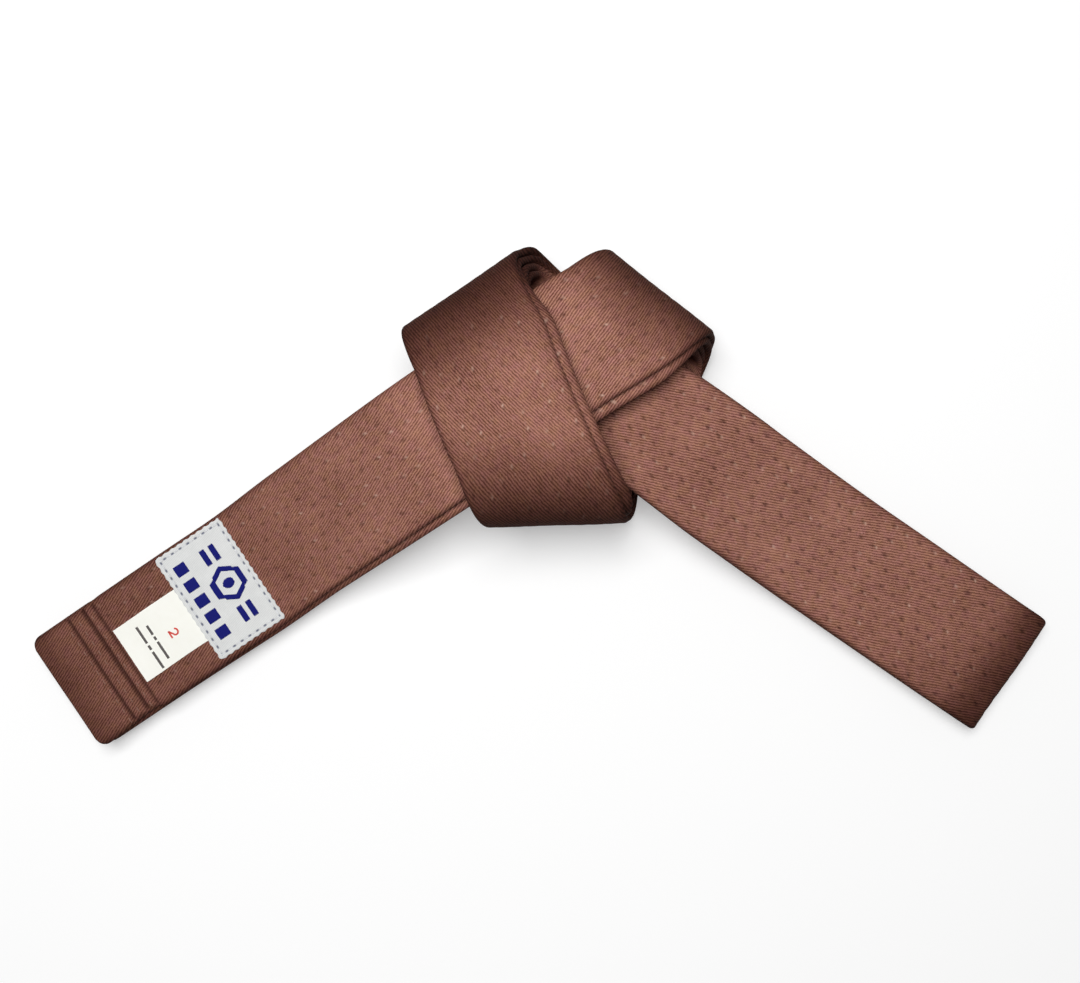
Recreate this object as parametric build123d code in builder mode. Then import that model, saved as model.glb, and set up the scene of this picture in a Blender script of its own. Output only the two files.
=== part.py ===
from build123d import *
import os
from collections import namedtuple
from math import atan2, cos, pi, radians, sin, sqrt, tan

# Martial arts belt, folded in half twice (four nested layers) and tied in one overhand knot,
# lying flat.  Units mm.  +Z is up, the table is z = 0, and the origin is under the middle of
# the belt's bounding box.
#
# Belt coordinates: s runs along the belt from the hemmed ends to the looped end, v runs
# across it, h runs through the four layers (layer 0 has the largest h, layer 3 the smallest).

# ---- belt section ------------------------------------------------------------------------
BELT_W = 40.0           # width of the belt
LAYER_T = 2.38          # thickness of one layer
PITCH = 2.5             # layer to layer
COVER_WALL = 0.40       # cotton twill cover cloth
PLY_T = 0.50            # one core ply
PLY_IN = 0.19           # from the middle of a layer to the near face of a core ply
ROW_T = 0.18            # height of a thread row, between the core plies
ROW_W = 0.50            # width of a thread row
ROWS = 9                # lengthwise stitch rows
ROW_STEP = 4.35         # stitch row spacing
SEAM = 0.12             # slit where the cover cloth's edges meet, inside the knot
CORE_SIDE = 0.55        # core ply edge to belt edge

LAYERS = range(4)
LAYER_H = [PITCH * (1.5 - k) for k in LAYERS]      # layer middles
HALF_W = BELT_W / 2
HALF_T = LAYER_T / 2
HALF_HOLLOW = HALF_T - COVER_WALL
CORE_HALF_W = HALF_W - CORE_SIDE
ROW_V = [(i - (ROWS - 1) / 2) * ROW_STEP for i in range(ROWS)]

# Bands inside a layer: (low, high) measured from the layer's middle
OUTER_PLY = (PLY_IN, PLY_IN + PLY_T)
INNER_PLY = (-PLY_IN - PLY_T, -PLY_IN)
THREAD_ROW = (-ROW_T / 2, ROW_T / 2)
COVER_OUTSIDE = (-HALF_T, HALF_T)
COVER_INSIDE = (-HALF_HOLLOW, HALF_HOLLOW)

# ---- stations along the belt -------------------------------------------------------------
LEFT_BEND_S, RIGHT_BEND_S = 80.0, 548.0     # bend lines half way along the tails
KNOT_START_S, KNOT_END_S = 116.0, 496.0     # bend lines where the tails leave the knot
LOOPED_END_S = 604.7
LEFT_HAIRPIN_S = 3.2            # centre of the fold at the left end
LEFT_RISE = (68, 148)           # left tail climbs into the knot
RIGHT_DROP = (476, 544)         # right tail comes down from the knot
BEND_LIMIT = 40.0               # largest bend at a bend line, degrees
BEND_CLEARANCE = 0.2
OVERRUN = 1.0                   # a hollow runs this far past the open end of its tube

# ---- levels and plan of the knot ---------------------------------------------------------
LEVEL = 10.9                    # level to level inside the knot
Z_REST = 4.94                   # middle of the pack on the table and in the back wrap
Z_RIGHT = Z_REST + LEVEL        # right tail where it leaves the knot
Z_LEFT = Z_REST + 2 * LEVEL     # left tail where it enters the knot
Z_FRONT = Z_REST + 3 * LEVEL    # front wrap
LEFT_ORIGIN = (-146.868, -62.951)           # s = 0, v = 0 before CENTRING
LEFT_HEADING = radians(34.0)
CENTRING = (0.06, 2.63)         # moves the bounding box's middle onto the origin
SIDE_R = 9.0                    # radius of the two upper folds
LOW_R, TOP_R = 7.0, 11.0        # lower fold, bottom and top quarter

# Sideways curves: (angle, start past the curve's origin, length)
FRONT_CURVE = (radians(-9.5), 6.0, 60.0)
RIGHT_CURVE = (radians(2.6), 4.0, 52.0)

# Sideways shift of each layer, and where it comes and goes:
# (start of rise, length of rise, start of fall, length of fall)
KNOT_SHIFT = [0.0, -3.3, 0.0, 0.0]          # layer 1 stands out in the knot
KNOT_SHIFT_SPAN = (20, 140, 395, 60)
RIGHT_SHIFT = [-2.6, -1.6, 0.0, 0.0]        # lower layers stand out as the right tail leaves
RIGHT_SHIFT_SPAN = (440, 26, 492, 56)

# How far the cloth is drawn in from its -v and +v edges in the lower fold; spans as above
GATHER_MINUS, GATHER_PLUS = 8.5, 7.5
GATHER_EDGE = 18                # between -18 and +18 the width shrinks evenly
GATHER_MINUS_SPAN = (262, 24, 284, 30)
INNERMOST_MINUS_SPAN = (284, 14, 311, 16)
INNERMOST_PLUS_SPAN = (299, 15, 324, 16)


# ---- plane geometry ----------------------------------------------------------------------
def clamp(x):
    return min(1.0, max(0.0, x))


def smooth(x):
    x = clamp(x)
    return x * x * (3 - 2 * x)


def swell(s, span):
    """Weight that rises smoothly from 0 to 1 and falls back again."""
    rise_start, rise, fall_start, fall = span
    return smooth((s - rise_start) / rise) * (1 - smooth((s - fall_start) / fall))


def distance(p, origin, direction):
    return (p[0] - origin[0]) * direction[0] + (p[1] - origin[1]) * direction[1]


def solve(f, lo, hi):
    """Root of f by bisection, returned from the side of lo."""
    f_lo = f(lo)
    for _ in range(60):
        mid = (lo + hi) / 2
        if (f(mid) > 0) == (f_lo > 0):
            lo = mid
        else:
            hi = mid
    return (lo + hi) / 2


def curve_plane(p, origin, heading, curve):
    """Bend the plane sideways along a heading, over the curve's length."""
    bend, start, length = curve
    d = (cos(heading), sin(heading))
    n = (-d[1], d[0])
    along, side = distance(p, origin, d), distance(p, origin, n)
    k = bend / length
    turned = k * min(length, max(0.0, along - start))
    over = max(0.0, along - start - length)
    x = min(along, start) + sin(turned) / k + over * cos(bend) - side * sin(turned)
    y = (1 - cos(turned)) / k + over * sin(bend) + side * cos(turned)
    return (origin[0] + x * d[0] + y * n[0], origin[1] + x * d[1] + y * n[1])


class Fold:
    """Half turn over a fold line: a quarter arc, an upright part and a quarter arc."""

    def __init__(self, point, outward, first_r, last_r, z_start, z_end):
        self.point, self.outward = point, outward
        self.first_r, self.last_r = first_r, last_r
        self.z_start = z_start
        self.sense = 1 if z_end > z_start else -1
        self.upright = abs(z_end - z_start) - first_r - last_r
        self.length = pi / 2 * (first_r + last_r) + self.upright

    def reach(self, p):
        """Distance of a point of the unfolded sheet past the fold line."""
        return distance(p, self.point, self.outward)

    def moved(self, p, travel):
        """The point carried outward or back until its reach is travel."""
        m, step = self.outward, travel - self.reach(p)
        return (p[0] + step * m[0], p[1] + step * m[1])

    def beyond(self, p):
        """Plan position of a sheet point that lies past the whole fold."""
        return self.moved(p, self.first_r - self.last_r - (self.reach(p) - self.length))

    def mirrored(self, heading):
        return 2 * (atan2(self.outward[1], self.outward[0]) - pi / 2) - heading

    def turn(self, q):
        """Arc length past the fold line to (outward travel, climb, turned angle)."""
        r1, r2 = self.first_r, self.last_r
        arc = pi / 2 * r1
        if q <= 0:
            return q, 0.0, 0.0
        if q <= arc:
            a = q / r1
            return r1 * sin(a), r1 * (1 - cos(a)), a
        if q <= arc + self.upright:
            return r1, r1 + q - arc, pi / 2
        a = (q - arc - self.upright) / r2
        return r1 - r2 + r2 * cos(a), r1 + self.upright + r2 * sin(a), pi / 2 + a

    def place(self, p):
        """Plan position, height and layer 0 side normal of a sheet point on the fold."""
        travel, climb, a = self.turn(self.reach(p))
        m = self.outward
        normal = (sin(a) * m[0], sin(a) * m[1], -self.sense * cos(a))
        return self.moved(p, travel), self.z_start + self.sense * climb, normal


UPPER_RIGHT = Fold((27.620, 50.921), (0.62251, 0.78261), SIDE_R, SIDE_R, Z_LEFT, Z_REST)
LOWER = Fold((6.415, 1.804), (0.03316, -0.99945), LOW_R, TOP_R, Z_REST, Z_FRONT)
UPPER_LEFT = Fold((-14.554, 49.605), (-0.56208, 0.82708), SIDE_R, SIDE_R, Z_FRONT, Z_RIGHT)

BACK_HEADING = UPPER_RIGHT.mirrored(LEFT_HEADING)
FRONT_HEADING = LOWER.mirrored(BACK_HEADING)
RIGHT_START_HEADING = UPPER_LEFT.mirrored(FRONT_HEADING + FRONT_CURVE[0])
RIGHT_HEADING = RIGHT_START_HEADING + RIGHT_CURVE[0]
LEFT_ALONG = (cos(LEFT_HEADING), sin(LEFT_HEADING))
LEFT_ACROSS = (-LEFT_ALONG[1], LEFT_ALONG[0])
RIGHT_ALONG = (cos(RIGHT_HEADING), sin(RIGHT_HEADING))


# ---- the folded path in plan: (s, v) to (x, y) for each flat stretch ---------------------
def left_sheet(s, v):
    return (LEFT_ORIGIN[0] + s * LEFT_ALONG[0] + v * LEFT_ACROSS[0],
            LEFT_ORIGIN[1] + s * LEFT_ALONG[1] + v * LEFT_ACROSS[1])


def back_sheet(s, v):
    return UPPER_RIGHT.beyond(left_sheet(s, v))


def straight_front(s, v):
    return LOWER.beyond(back_sheet(s, v))


def fold_rule(fold, sheet, search, reach):
    """Ruling parallel to a fold line, as a function from v to s."""
    return lambda v: solve(lambda s: fold.reach(sheet(s, v)) - reach, *search)


FRONT_ORIGIN = straight_front(fold_rule(LOWER, back_sheet, (260, 400), LOWER.length)(0), 0)


def front_sheet(s, v):
    return curve_plane(straight_front(s, v), FRONT_ORIGIN, FRONT_HEADING, FRONT_CURVE)


def straight_right(s, v):
    return UPPER_LEFT.beyond(front_sheet(s, v))


RIGHT_START_S = fold_rule(UPPER_LEFT, front_sheet, (380, 450), UPPER_LEFT.length)(0)
RIGHT_CURVE_ORIGIN = straight_right(RIGHT_START_S, 0)


def right_sheet(s, v):
    return curve_plane(straight_right(s, v), RIGHT_CURVE_ORIGIN, RIGHT_START_HEADING,
                       RIGHT_CURVE)


def ramp(s, span, z_start, z_end, along, facing):
    """Height and layer 0 side normal on a tail; facing is +1 if layer 0 is on top."""
    start, end = span
    u = clamp((s - start) / (end - start))
    slope = (z_end - z_start) * 6 * u * (1 - u) / (end - start)
    k = facing / sqrt(1 + slope * slope)
    z = z_start + (z_end - z_start) * smooth(u)
    return z, (-slope * k * along[0], -slope * k * along[1], k)


def place_middle(s, v):
    """Plan position, height and normal on the middle of the pack."""
    left = left_sheet(s, v)
    if UPPER_RIGHT.reach(left) <= 0:
        return left, *ramp(s, LEFT_RISE, Z_REST, Z_LEFT, LEFT_ALONG, 1)
    if UPPER_RIGHT.reach(left) <= UPPER_RIGHT.length:
        return UPPER_RIGHT.place(left)
    back = back_sheet(s, v)
    if LOWER.reach(back) <= LOWER.length:
        return LOWER.place(back)
    front = front_sheet(s, v)
    if UPPER_LEFT.reach(front) <= UPPER_LEFT.length:
        return UPPER_LEFT.place(front)
    return right_sheet(s, v), *ramp(s, RIGHT_DROP, Z_RIGHT, Z_REST, RIGHT_ALONG, -1)


def pack_point(s, v, h):
    """Point of the pack at (s, v, h) and the layer 0 side normal there."""
    p, z, n = place_middle(s, v)
    return (p[0] + n[0] * h + CENTRING[0], p[1] + n[1] * h + CENTRING[1], z + n[2] * h), n


def side_shift(k, s):
    return (KNOT_SHIFT[k] * swell(s, KNOT_SHIFT_SPAN)
            + RIGHT_SHIFT[k] * swell(s, RIGHT_SHIFT_SPAN))


def gather(k, s, v):
    """Cross position v of layer k, drawn in where the pack is bunched in the lower fold:
    every layer at its -v edge, the innermost one at both edges."""
    plus = 0.0
    if k == 3:
        minus = GATHER_MINUS * swell(s, INNERMOST_MINUS_SPAN)
        plus = GATHER_PLUS * swell(s, INNERMOST_PLUS_SPAN)
    else:
        minus = GATHER_MINUS * swell(s, GATHER_MINUS_SPAN)
    if v < -GATHER_EDGE:
        return v + minus
    if v > GATHER_EDGE:
        return v - plus
    width = 2 * GATHER_EDGE
    return -GATHER_EDGE + minus + (v + GATHER_EDGE) / width * (width - minus - plus)


# Half gap left at a bend line so that each layer can turn without touching
HALF_GAP = [BEND_CLEARANCE + (abs(h) + HALF_T) * tan(radians(BEND_LIMIT / 2)) for h in LAYER_H]


# ---- straight rulings of the pack through the knot, each a function from v to s ----------
def square_rules(stations):
    return [lambda v, s=s: s for s in stations]


def fold_rules(fold, sheet, search, steps):
    return [fold_rule(fold, sheet, search, fold.length * i / steps) for i in range(steps + 1)]


def blends(first, last, weights):
    return [lambda v, t=t: first(v) * (1 - t) + last(v) * t for t in weights]


def knot_rulings():
    entry = square_rules(range(120, 149, 4))
    upper_right = fold_rules(UPPER_RIGHT, left_sheet, (100, 320), 14)
    lower = fold_rules(LOWER, back_sheet, (200, 420), 16)
    upper_left = fold_rules(UPPER_LEFT, front_sheet, (330, 470), 14)
    leaving = square_rules((RIGHT_START_S + 26, 448, 456, 464, 472, 476, 480, 484, 488, 492))
    return [
        *entry,
        *blends(entry[-1], upper_right[0], (0.35, 0.7)),
        *upper_right,
        *blends(upper_right[-1], lower[0], (0.25, 0.5, 0.75)),
        *lower,
        *blends(lower[-1], upper_left[0], (0.15, 0.3, 0.45, 0.6, 0.75, 0.88)),
        *upper_left,
        *blends(upper_left[-1], leaving[0], (0.2, 0.4, 0.6, 0.8)),
        *leaving,
    ]


RULINGS = knot_rulings()


def layer_rulings(k):
    first, last = square_rules((KNOT_START_S + HALF_GAP[k], KNOT_END_S - HALF_GAP[k]))
    return [first, *RULINGS, last]


def section_plane(rule, h, v0, v1, k):
    """Plane of a cross-section on a ruling, x from v0 to v1, and the width between them."""
    s = rule(0.0)
    shift = side_shift(k, s)
    v0, v1 = gather(k, s, v0) + shift, gather(k, s, v1) + shift
    start, start_normal = pack_point(rule(v0), v0, h)
    end, end_normal = pack_point(rule(v1), v1, h)
    middle = (Vector(*start) + Vector(*end)) / 2
    x_dir = Vector(*end) - Vector(*start)
    normal = (Vector(*start_normal) + Vector(*end_normal)).normalized()
    return Plane(origin=middle, x_dir=x_dir, z_dir=x_dir.cross(normal)), x_dir.length


def knot_band(k, band, v0, v1):
    """One band of layer k through the whole knot, lofted along the rulings."""
    low, high = band
    with BuildPart() as part:
        for rule in layer_rulings(k):
            plane, width = section_plane(rule, LAYER_H[k] + (low + high) / 2, v0, v1, k)
            with BuildSketch(plane):
                Rectangle(width, high - low)
        loft(ruled=True)
    return part.part


def knot_cover_layer(k):
    """Cover cloth of layer k through the knot: folded round the core, its two edges
    meeting at a fine lengthwise seam along one side."""
    t, t_in, slit = HALF_T, HALF_HOLLOW, SEAM / 2
    with BuildPart() as part:
        for rule in layer_rulings(k):
            plane, width = section_plane(rule, LAYER_H[k], -HALF_W, HALF_W, k)
            w = width / 2
            w_in = w - COVER_WALL
            with BuildSketch(plane):
                with BuildLine():
                    Polyline((w, slit), (w, t), (-w, t), (-w, -t), (w, -t), (w, -slit),
                             (w_in, -slit), (w_in, -t_in), (-w_in, -t_in), (-w_in, t_in),
                             (w_in, t_in), (w_in, slit), close=True)
                make_face()
        loft(ruled=True)
    return part.part


# ---- straight tails: side outlines drawn in (along, up), extruded across -----------------
Tail = namedtuple("Tail", "origin along across")
LEFT = Tail(LEFT_ORIGIN, LEFT_ALONG, LEFT_ACROSS)
right_origin = right_sheet(KNOT_END_S, 0)
right_side = right_sheet(KNOT_END_S, 1)
RIGHT = Tail(right_origin, RIGHT_ALONG,
             (right_side[0] - right_origin[0], right_side[1] - right_origin[1]))


def side_point(tail, s, h):
    p, _ = pack_point(s, 0, h)
    return distance((p[0] - CENTRING[0], p[1] - CENTRING[1]), tail.origin, tail.along), p[2]


def stations(start, end):
    """Stations from start to end, close together only where the pack rises or drops."""
    lo, hi = min(start, end), max(start, end)
    slope = [float(s) for first, last in (LEFT_RISE, RIGHT_DROP)
             for s in range(first, last + 1, 5) if lo + 1.5 < s < hi - 1.5]
    result = [lo, *slope, hi]
    return result if start < end else result[::-1]


def side_points(tail, start, end, h):
    return [side_point(tail, s, h) for s in stations(start, end)]


def strip_outline(tail, start, end, low, high):
    points = side_points(tail, start, end, high) + side_points(tail, end, start, low)
    with BuildLine() as line:
        Polyline(*points, close=True)
    return line.line


# Path along layer k_a from start_a, round a centre (out = +1 or -1 along s), back on layer k_b
Hairpin = namedtuple("Hairpin", "centre out k_a k_b start_a end_b")


def hairpin_outline(tail, pin, band):
    low, high = band
    h_a, h_b = LAYER_H[pin.k_a], LAYER_H[pin.k_b]
    middle, radius = (h_a + h_b) / 2, (h_a - h_b) / 2
    top = side_points(tail, pin.start_a, pin.centre, h_a + high)
    bottom = side_points(tail, pin.centre, pin.end_b, h_b - high)
    bottom_in = side_points(tail, pin.end_b, pin.centre, h_b - low)
    top_in = side_points(tail, pin.centre, pin.start_a, h_a + low)
    crown = side_point(tail, pin.centre + pin.out * (radius + high), middle)
    crown_in = side_point(tail, pin.centre + pin.out * (radius + low), middle)
    with BuildLine() as line:
        Polyline(*top)
        ThreePointArc(top[-1], crown, bottom[0])
        Polyline(*bottom)
        Line(bottom[-1], bottom_in[0])
        Polyline(*bottom_in)
        ThreePointArc(bottom_in[-1], crown_in, top_in[0])
        Polyline(*top_in)
        Line(top_in[-1], top[0])
    return line.line


def across(tail, outline, v0, v1):
    """Solid made by carrying a side outline across the belt from v0 to v1."""
    z_dir = (tail.along[1], -tail.along[0], 0)
    sense = 1 if tail.across[0] * z_dir[0] + tail.across[1] * z_dir[1] > 0 else -1
    origin = (tail.origin[0] + tail.across[0] * v0 + CENTRING[0],
              tail.origin[1] + tail.across[1] * v0 + CENTRING[1], 0)
    with BuildPart() as part:
        with BuildSketch(Plane(origin=origin, x_dir=(*tail.along, 0), z_dir=z_dir)):
            add(outline)
            make_face()
        extrude(amount=(v1 - v0) * sense)
    return part.part


def centred(tail, outline, half_width, shift):
    return across(tail, outline, -half_width + shift, half_width + shift)


def tube(tail, outer, inner, shift):
    """Cover cloth: the outer outline at full width, hollowed by the inner one."""
    body = centred(tail, outer, HALF_W, shift)
    hollow = centred(tail, inner, HALF_W - COVER_WALL, shift)
    with BuildPart() as part:
        add(body)
        add(hollow, mode=Mode.SUBTRACT)
    return part.part


def core(tail, outline_of, shift):
    """Outer plies, inner plies and thread rows, given the outline of any band."""
    rows = outline_of(THREAD_ROW)
    return ([centred(tail, outline_of(OUTER_PLY), CORE_HALF_W, shift)],
            [centred(tail, outline_of(INNER_PLY), CORE_HALF_W, shift)],
            [across(tail, rows, v - ROW_W / 2 + shift, v + ROW_W / 2 + shift) for v in ROW_V])


def strip_core(tail, k, start, end, shift):
    h = LAYER_H[k]
    return core(tail, lambda band: strip_outline(tail, start, end, h + band[0], h + band[1]),
                shift)


# ---- runs of belt: (covers, outer plies, inner plies, thread rows), each a list ----------
def hairpin_run(tail, pin):
    hollow = pin._replace(start_a=pin.start_a - pin.out * OVERRUN,
                          end_b=pin.end_b - pin.out * OVERRUN)
    cover = tube(tail, hairpin_outline(tail, pin, COVER_OUTSIDE),
                 hairpin_outline(tail, hollow, COVER_INSIDE), 0)
    return ([cover], *core(tail, lambda band: hairpin_outline(tail, pin, band), 0))


def tail_run(tail, k, bend_start, bend_end, shift_s):
    """Layer k between two bend lines, shifted sideways as at station shift_s."""
    start, end = bend_start + HALF_GAP[k], bend_end - HALF_GAP[k]
    h, shift = LAYER_H[k], side_shift(k, shift_s)
    cover = tube(tail, strip_outline(tail, start, end, h - HALF_T, h + HALF_T),
                 strip_outline(tail, start - OVERRUN, end + OVERRUN,
                               h - HALF_HOLLOW, h + HALF_HOLLOW), shift)
    return ([cover], *strip_core(tail, k, start, end, shift))


def knot_run(k):
    rows = [knot_band(k, THREAD_ROW, v - ROW_W / 2, v + ROW_W / 2) for v in ROW_V]
    return ([knot_cover_layer(k)],
            [knot_band(k, OUTER_PLY, -CORE_HALF_W, CORE_HALF_W)],
            [knot_band(k, INNER_PLY, -CORE_HALF_W, CORE_HALF_W)],
            rows)


# ---- left end: two hemmed belt ends over the fold that joins layers 2 and 3 --------------
HEM_S = 21.3            # a hem reaches from the belt end to here
HEM_TOP = 0.69          # top of the cloth under the flap, above the layer's middle
END_STEP = 1.2          # the end of layer 1 lies this far behind that of layer 0
LEFT_END_SHIFT_S = 40   # station whose side shift the left end takes


def belt_end_run(k):
    """Hemmed end of layer k: a hollow tube closed by the solid cloth of the hem."""
    h, end, shift = LAYER_H[k], LEFT_BEND_S - HALF_GAP[k], side_shift(k, LEFT_END_SHIFT_S)
    body = tube(LEFT, strip_outline(LEFT, HEM_S, end, h - HALF_T, h + HALF_T),
                strip_outline(LEFT, HEM_S + 0.6, end + OVERRUN,
                              h - HALF_HOLLOW, h + HALF_HOLLOW), shift)
    hem = centred(LEFT, strip_outline(LEFT, k * END_STEP, HEM_S, h - HALF_T, h + HEM_TOP),
                  HALF_W, shift)
    with BuildPart() as cover:
        add(body)
        add(hem)
    return ([cover.part], *strip_core(LEFT, k, HEM_S + 0.8, end, shift))


# ---- hem flaps and their stitching -------------------------------------------------------
FLAP_HALF_W = 19.8
FLAP_START_S = 0.3
FLAP_BASE = 0.75        # underside above the layer's middle
LOWER_FLAP_T = 0.4
BAND_1, BAND_2 = 0.16, 0.24     # heights of the two raised bands
FLAP_TOP_H = LAYER_H[0] + HALF_T

# Top of the upper flap: (s, height above FLAP_TOP_H)
FLAP_PROFILE = [
    (FLAP_START_S, 0), (13.2, 0), (13.6, BAND_1), (17.8, BAND_1), (18.2, 0),
    (18.9, 0), (19.2, BAND_2), (20.9, BAND_2), (HEM_S, 0),
]
# Stitch rows: (s, height of the cloth there above FLAP_TOP_H)
HEM_STITCH_ROWS = ((11.6, 0), (15.7, BAND_1), (20.05, BAND_2))
HEM_STITCHES_V = [-17.6 + 3.9 * i for i in range(10)]
HEM_STITCH_LIFT = 0.03
STITCH_T = 0.12


def end_hem_flaps():
    """Flap on each belt end; the upper one has two raised bands."""
    base = LAYER_H[0] + FLAP_BASE
    profile = [(FLAP_START_S, base), *[(s, FLAP_TOP_H + up) for s, up in FLAP_PROFILE],
               (HEM_S, base)]
    with BuildLine() as outline:
        Polyline(*[side_point(LEFT, s, h) for s, h in profile], close=True)
    upper = centred(LEFT, outline.line, FLAP_HALF_W, 0)
    low = LAYER_H[1] + FLAP_BASE
    lower = strip_outline(LEFT, FLAP_START_S + END_STEP, HEM_S, low, low + LOWER_FLAP_T)
    return fused([upper, centred(LEFT, lower, FLAP_HALF_W, side_shift(1, LEFT_END_SHIFT_S))])


def left_top(z):
    """Plane over the left tail, x along the belt, y across it."""
    return Plane(origin=(LEFT_ORIGIN[0] + CENTRING[0], LEFT_ORIGIN[1] + CENTRING[1], z),
                 x_dir=(*LEFT_ALONG, 0), z_dir=(0, 0, 1))


def end_hem_stitching():
    """Rows of stitches across the upper belt end."""
    with BuildPart() as part:
        for s, up in HEM_STITCH_ROWS:
            with BuildSketch(left_top(Z_REST + FLAP_TOP_H + up + HEM_STITCH_LIFT)):
                with Locations(*[(s, v) for v in HEM_STITCHES_V]):
                    Rectangle(0.5, 2.4)
            extrude(amount=STITCH_T)
    return part.part


# ---- brand label, its raised emblem and stitching ----------------------------------------
LABEL_S = (45.6, 69.7)
LABEL_V = (-18.0, 19.2)
LABEL_CENTRE = (sum(LABEL_S) / 2, sum(LABEL_V) / 2)
LABEL_LENGTH, LABEL_W = LABEL_S[1] - LABEL_S[0], LABEL_V[1] - LABEL_V[0]
LABEL_T = 0.35
BELT_TOP_Z = Z_REST + LAYER_H[0] + HALF_T
LABEL_Z = BELT_TOP_Z + 0.34
ON_LABEL_Z = LABEL_Z + LABEL_T + 0.01
EMBLEM = (61.0, 0.6)            # centre of the emblem, (s, v)
EDGE_STITCH_W = 0.45


def brand_label():
    with BuildPart() as part:
        with BuildSketch(left_top(LABEL_Z)):
            with Locations(LABEL_CENTRE):
                Rectangle(LABEL_LENGTH, LABEL_W)
        extrude(amount=LABEL_T)
        fillet(part.edges().filter_by(Axis.Z), radius=0.8)
    return part.part


def label_emblem():
    """Hexagon ring round a disc, two bars on either side and a row of five blocks."""
    s, v = EMBLEM
    with BuildPart() as part:
        with BuildSketch(left_top(ON_LABEL_Z)):
            with Locations(EMBLEM):
                RegularPolygon(radius=6.2, side_count=6, rotation=30)
                RegularPolygon(radius=4.1, side_count=6, rotation=30, mode=Mode.SUBTRACT)
            with Locations(EMBLEM):
                Circle(1.9)
            with Locations(*[(s + i, v + j) for i in (-1.7, 1.7) for j in (-10.4, 10.4)]):
                Rectangle(1.8, 6.4)
            with Locations(*[(s - 10.0, v + 5.8 * i) for i in (-2, -1, 0, 1, 2)]):
                Rectangle(3.8, 4.3)
        extrude(amount=0.10)
    return part.part


def label_edge_stitching():
    s, v = LABEL_CENTRE
    side_s = LABEL_LENGTH / 2 - 1.5
    side_v = LABEL_W / 2 - 1.2
    with BuildPart() as part:
        with BuildSketch(left_top(ON_LABEL_Z)):
            for sign in (-1, 1):
                with Locations(*[(s + sign * side_s, v + (i - 5) * 3.2) for i in range(11)]):
                    Rectangle(EDGE_STITCH_W, 2.1)
            for sign in (-1, 1):
                with Locations(*[(s + (i - 3) * 3.0, v + sign * side_v) for i in range(7)]):
                    Rectangle(2.0, EDGE_STITCH_W)
        extrude(amount=STITCH_T)
    return part.part


# ---- size tag: a free flap whose root is sewn in under the label -------------------------
TAG_START_S, TAG_HINGE_S, TAG_END_S = 22.8, 44.8, 49.6
TAG_HALF_GAP = 0.15             # on each side of the hinge line
TAG_V = (-10.7, 8.4)
TAG_T = 0.2
TAG_Z = BELT_TOP_Z + 0.06
PRINT_Z = TAG_Z + TAG_T + 0.02
PRINT_T = 0.05
NUMERAL = (38.2, -2.6)          # centre of the numeral, (s, v)

# Printed bars: (s, v, length across the belt)
PRINT_BARS = (
    (32.4, 2.1, 3.4), (32.4, -0.9, 1.2), (32.4, -5.3, 6.2),
    (29.4, 2.2, 6.0), (29.4, -2.4, 1.6), (29.4, -7.0, 6.0),
)


def tag_piece(start, end):
    with BuildPart() as part:
        with BuildSketch(left_top(TAG_Z)):
            with Locations(((start + end) / 2, sum(TAG_V) / 2)):
                Rectangle(end - start, TAG_V[1] - TAG_V[0])
        extrude(amount=TAG_T)
    return part.part


def size_tag_numeral():
    """Three strokes across the belt, joined by two short strokes along it."""
    s, v = NUMERAL
    with BuildPart() as part:
        with BuildSketch(left_top(PRINT_Z)):
            with Locations((s + 1.5, v), (s, v), (s - 1.5, v)):
                Rectangle(0.5, 2.7)
            with Locations((s + 0.75, v - 1.1), (s - 0.75, v + 1.1)):
                Rectangle(1.9, 0.5)
        extrude(amount=PRINT_T)
    return part.part


def size_tag_print_bars():
    with BuildPart() as part:
        with BuildSketch(left_top(PRINT_Z)):
            for s, v, length in PRINT_BARS:
                with Locations((s, v)):
                    Rectangle(0.9, length)
        extrude(amount=PRINT_T)
    return part.part


# ---- output ------------------------------------------------------------------------------
def fused(parts):
    with BuildPart() as joined:
        add(parts)
    return joined.part


def grouped(parts):
    return Compound(children=[solid for part in parts for solid in part.solids()])


def save(part, name):
    part.label = name
    export_step(part, f"parts/{name}.step")


def save_runs(name, runs, join=fused):
    """One file each for the covers, outer plies, inner plies and thread rows of the runs."""
    kinds = ("cover", "core_outer_plies", "core_inner_plies", "stitch_rows")
    for kind, groups in zip(kinds, zip(*runs)):
        save(join([part for group in groups for part in group]), f"{name}_{kind}")


os.makedirs("parts", exist_ok=True)

left_pin = Hairpin(LEFT_HAIRPIN_S, -1, 2, 3,
                   LEFT_BEND_S - HALF_GAP[2], LEFT_BEND_S - HALF_GAP[3])
save_runs("left_end", [belt_end_run(0), belt_end_run(1), hairpin_run(LEFT, left_pin)])
save(end_hem_flaps(), "end_hem_flaps")
save(end_hem_stitching(), "end_hem_stitching")
save(brand_label(), "brand_label")
save(label_emblem(), "label_emblem")
save(label_edge_stitching(), "label_edge_stitching")
save(tag_piece(TAG_START_S, TAG_HINGE_S - TAG_HALF_GAP), "size_tag")
save(tag_piece(TAG_HINGE_S + TAG_HALF_GAP, TAG_END_S), "size_tag_tuck")
save(size_tag_numeral(), "size_tag_numeral")
save(size_tag_print_bars(), "size_tag_print_bars")

save_runs("left_tail", [tail_run(LEFT, k, LEFT_BEND_S, KNOT_START_S, 98) for k in LAYERS])
save_runs("knot", [knot_run(k) for k in LAYERS], join=grouped)
save_runs("right_tail", [tail_run(RIGHT, k, KNOT_END_S, RIGHT_BEND_S, 520) for k in LAYERS])

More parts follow.
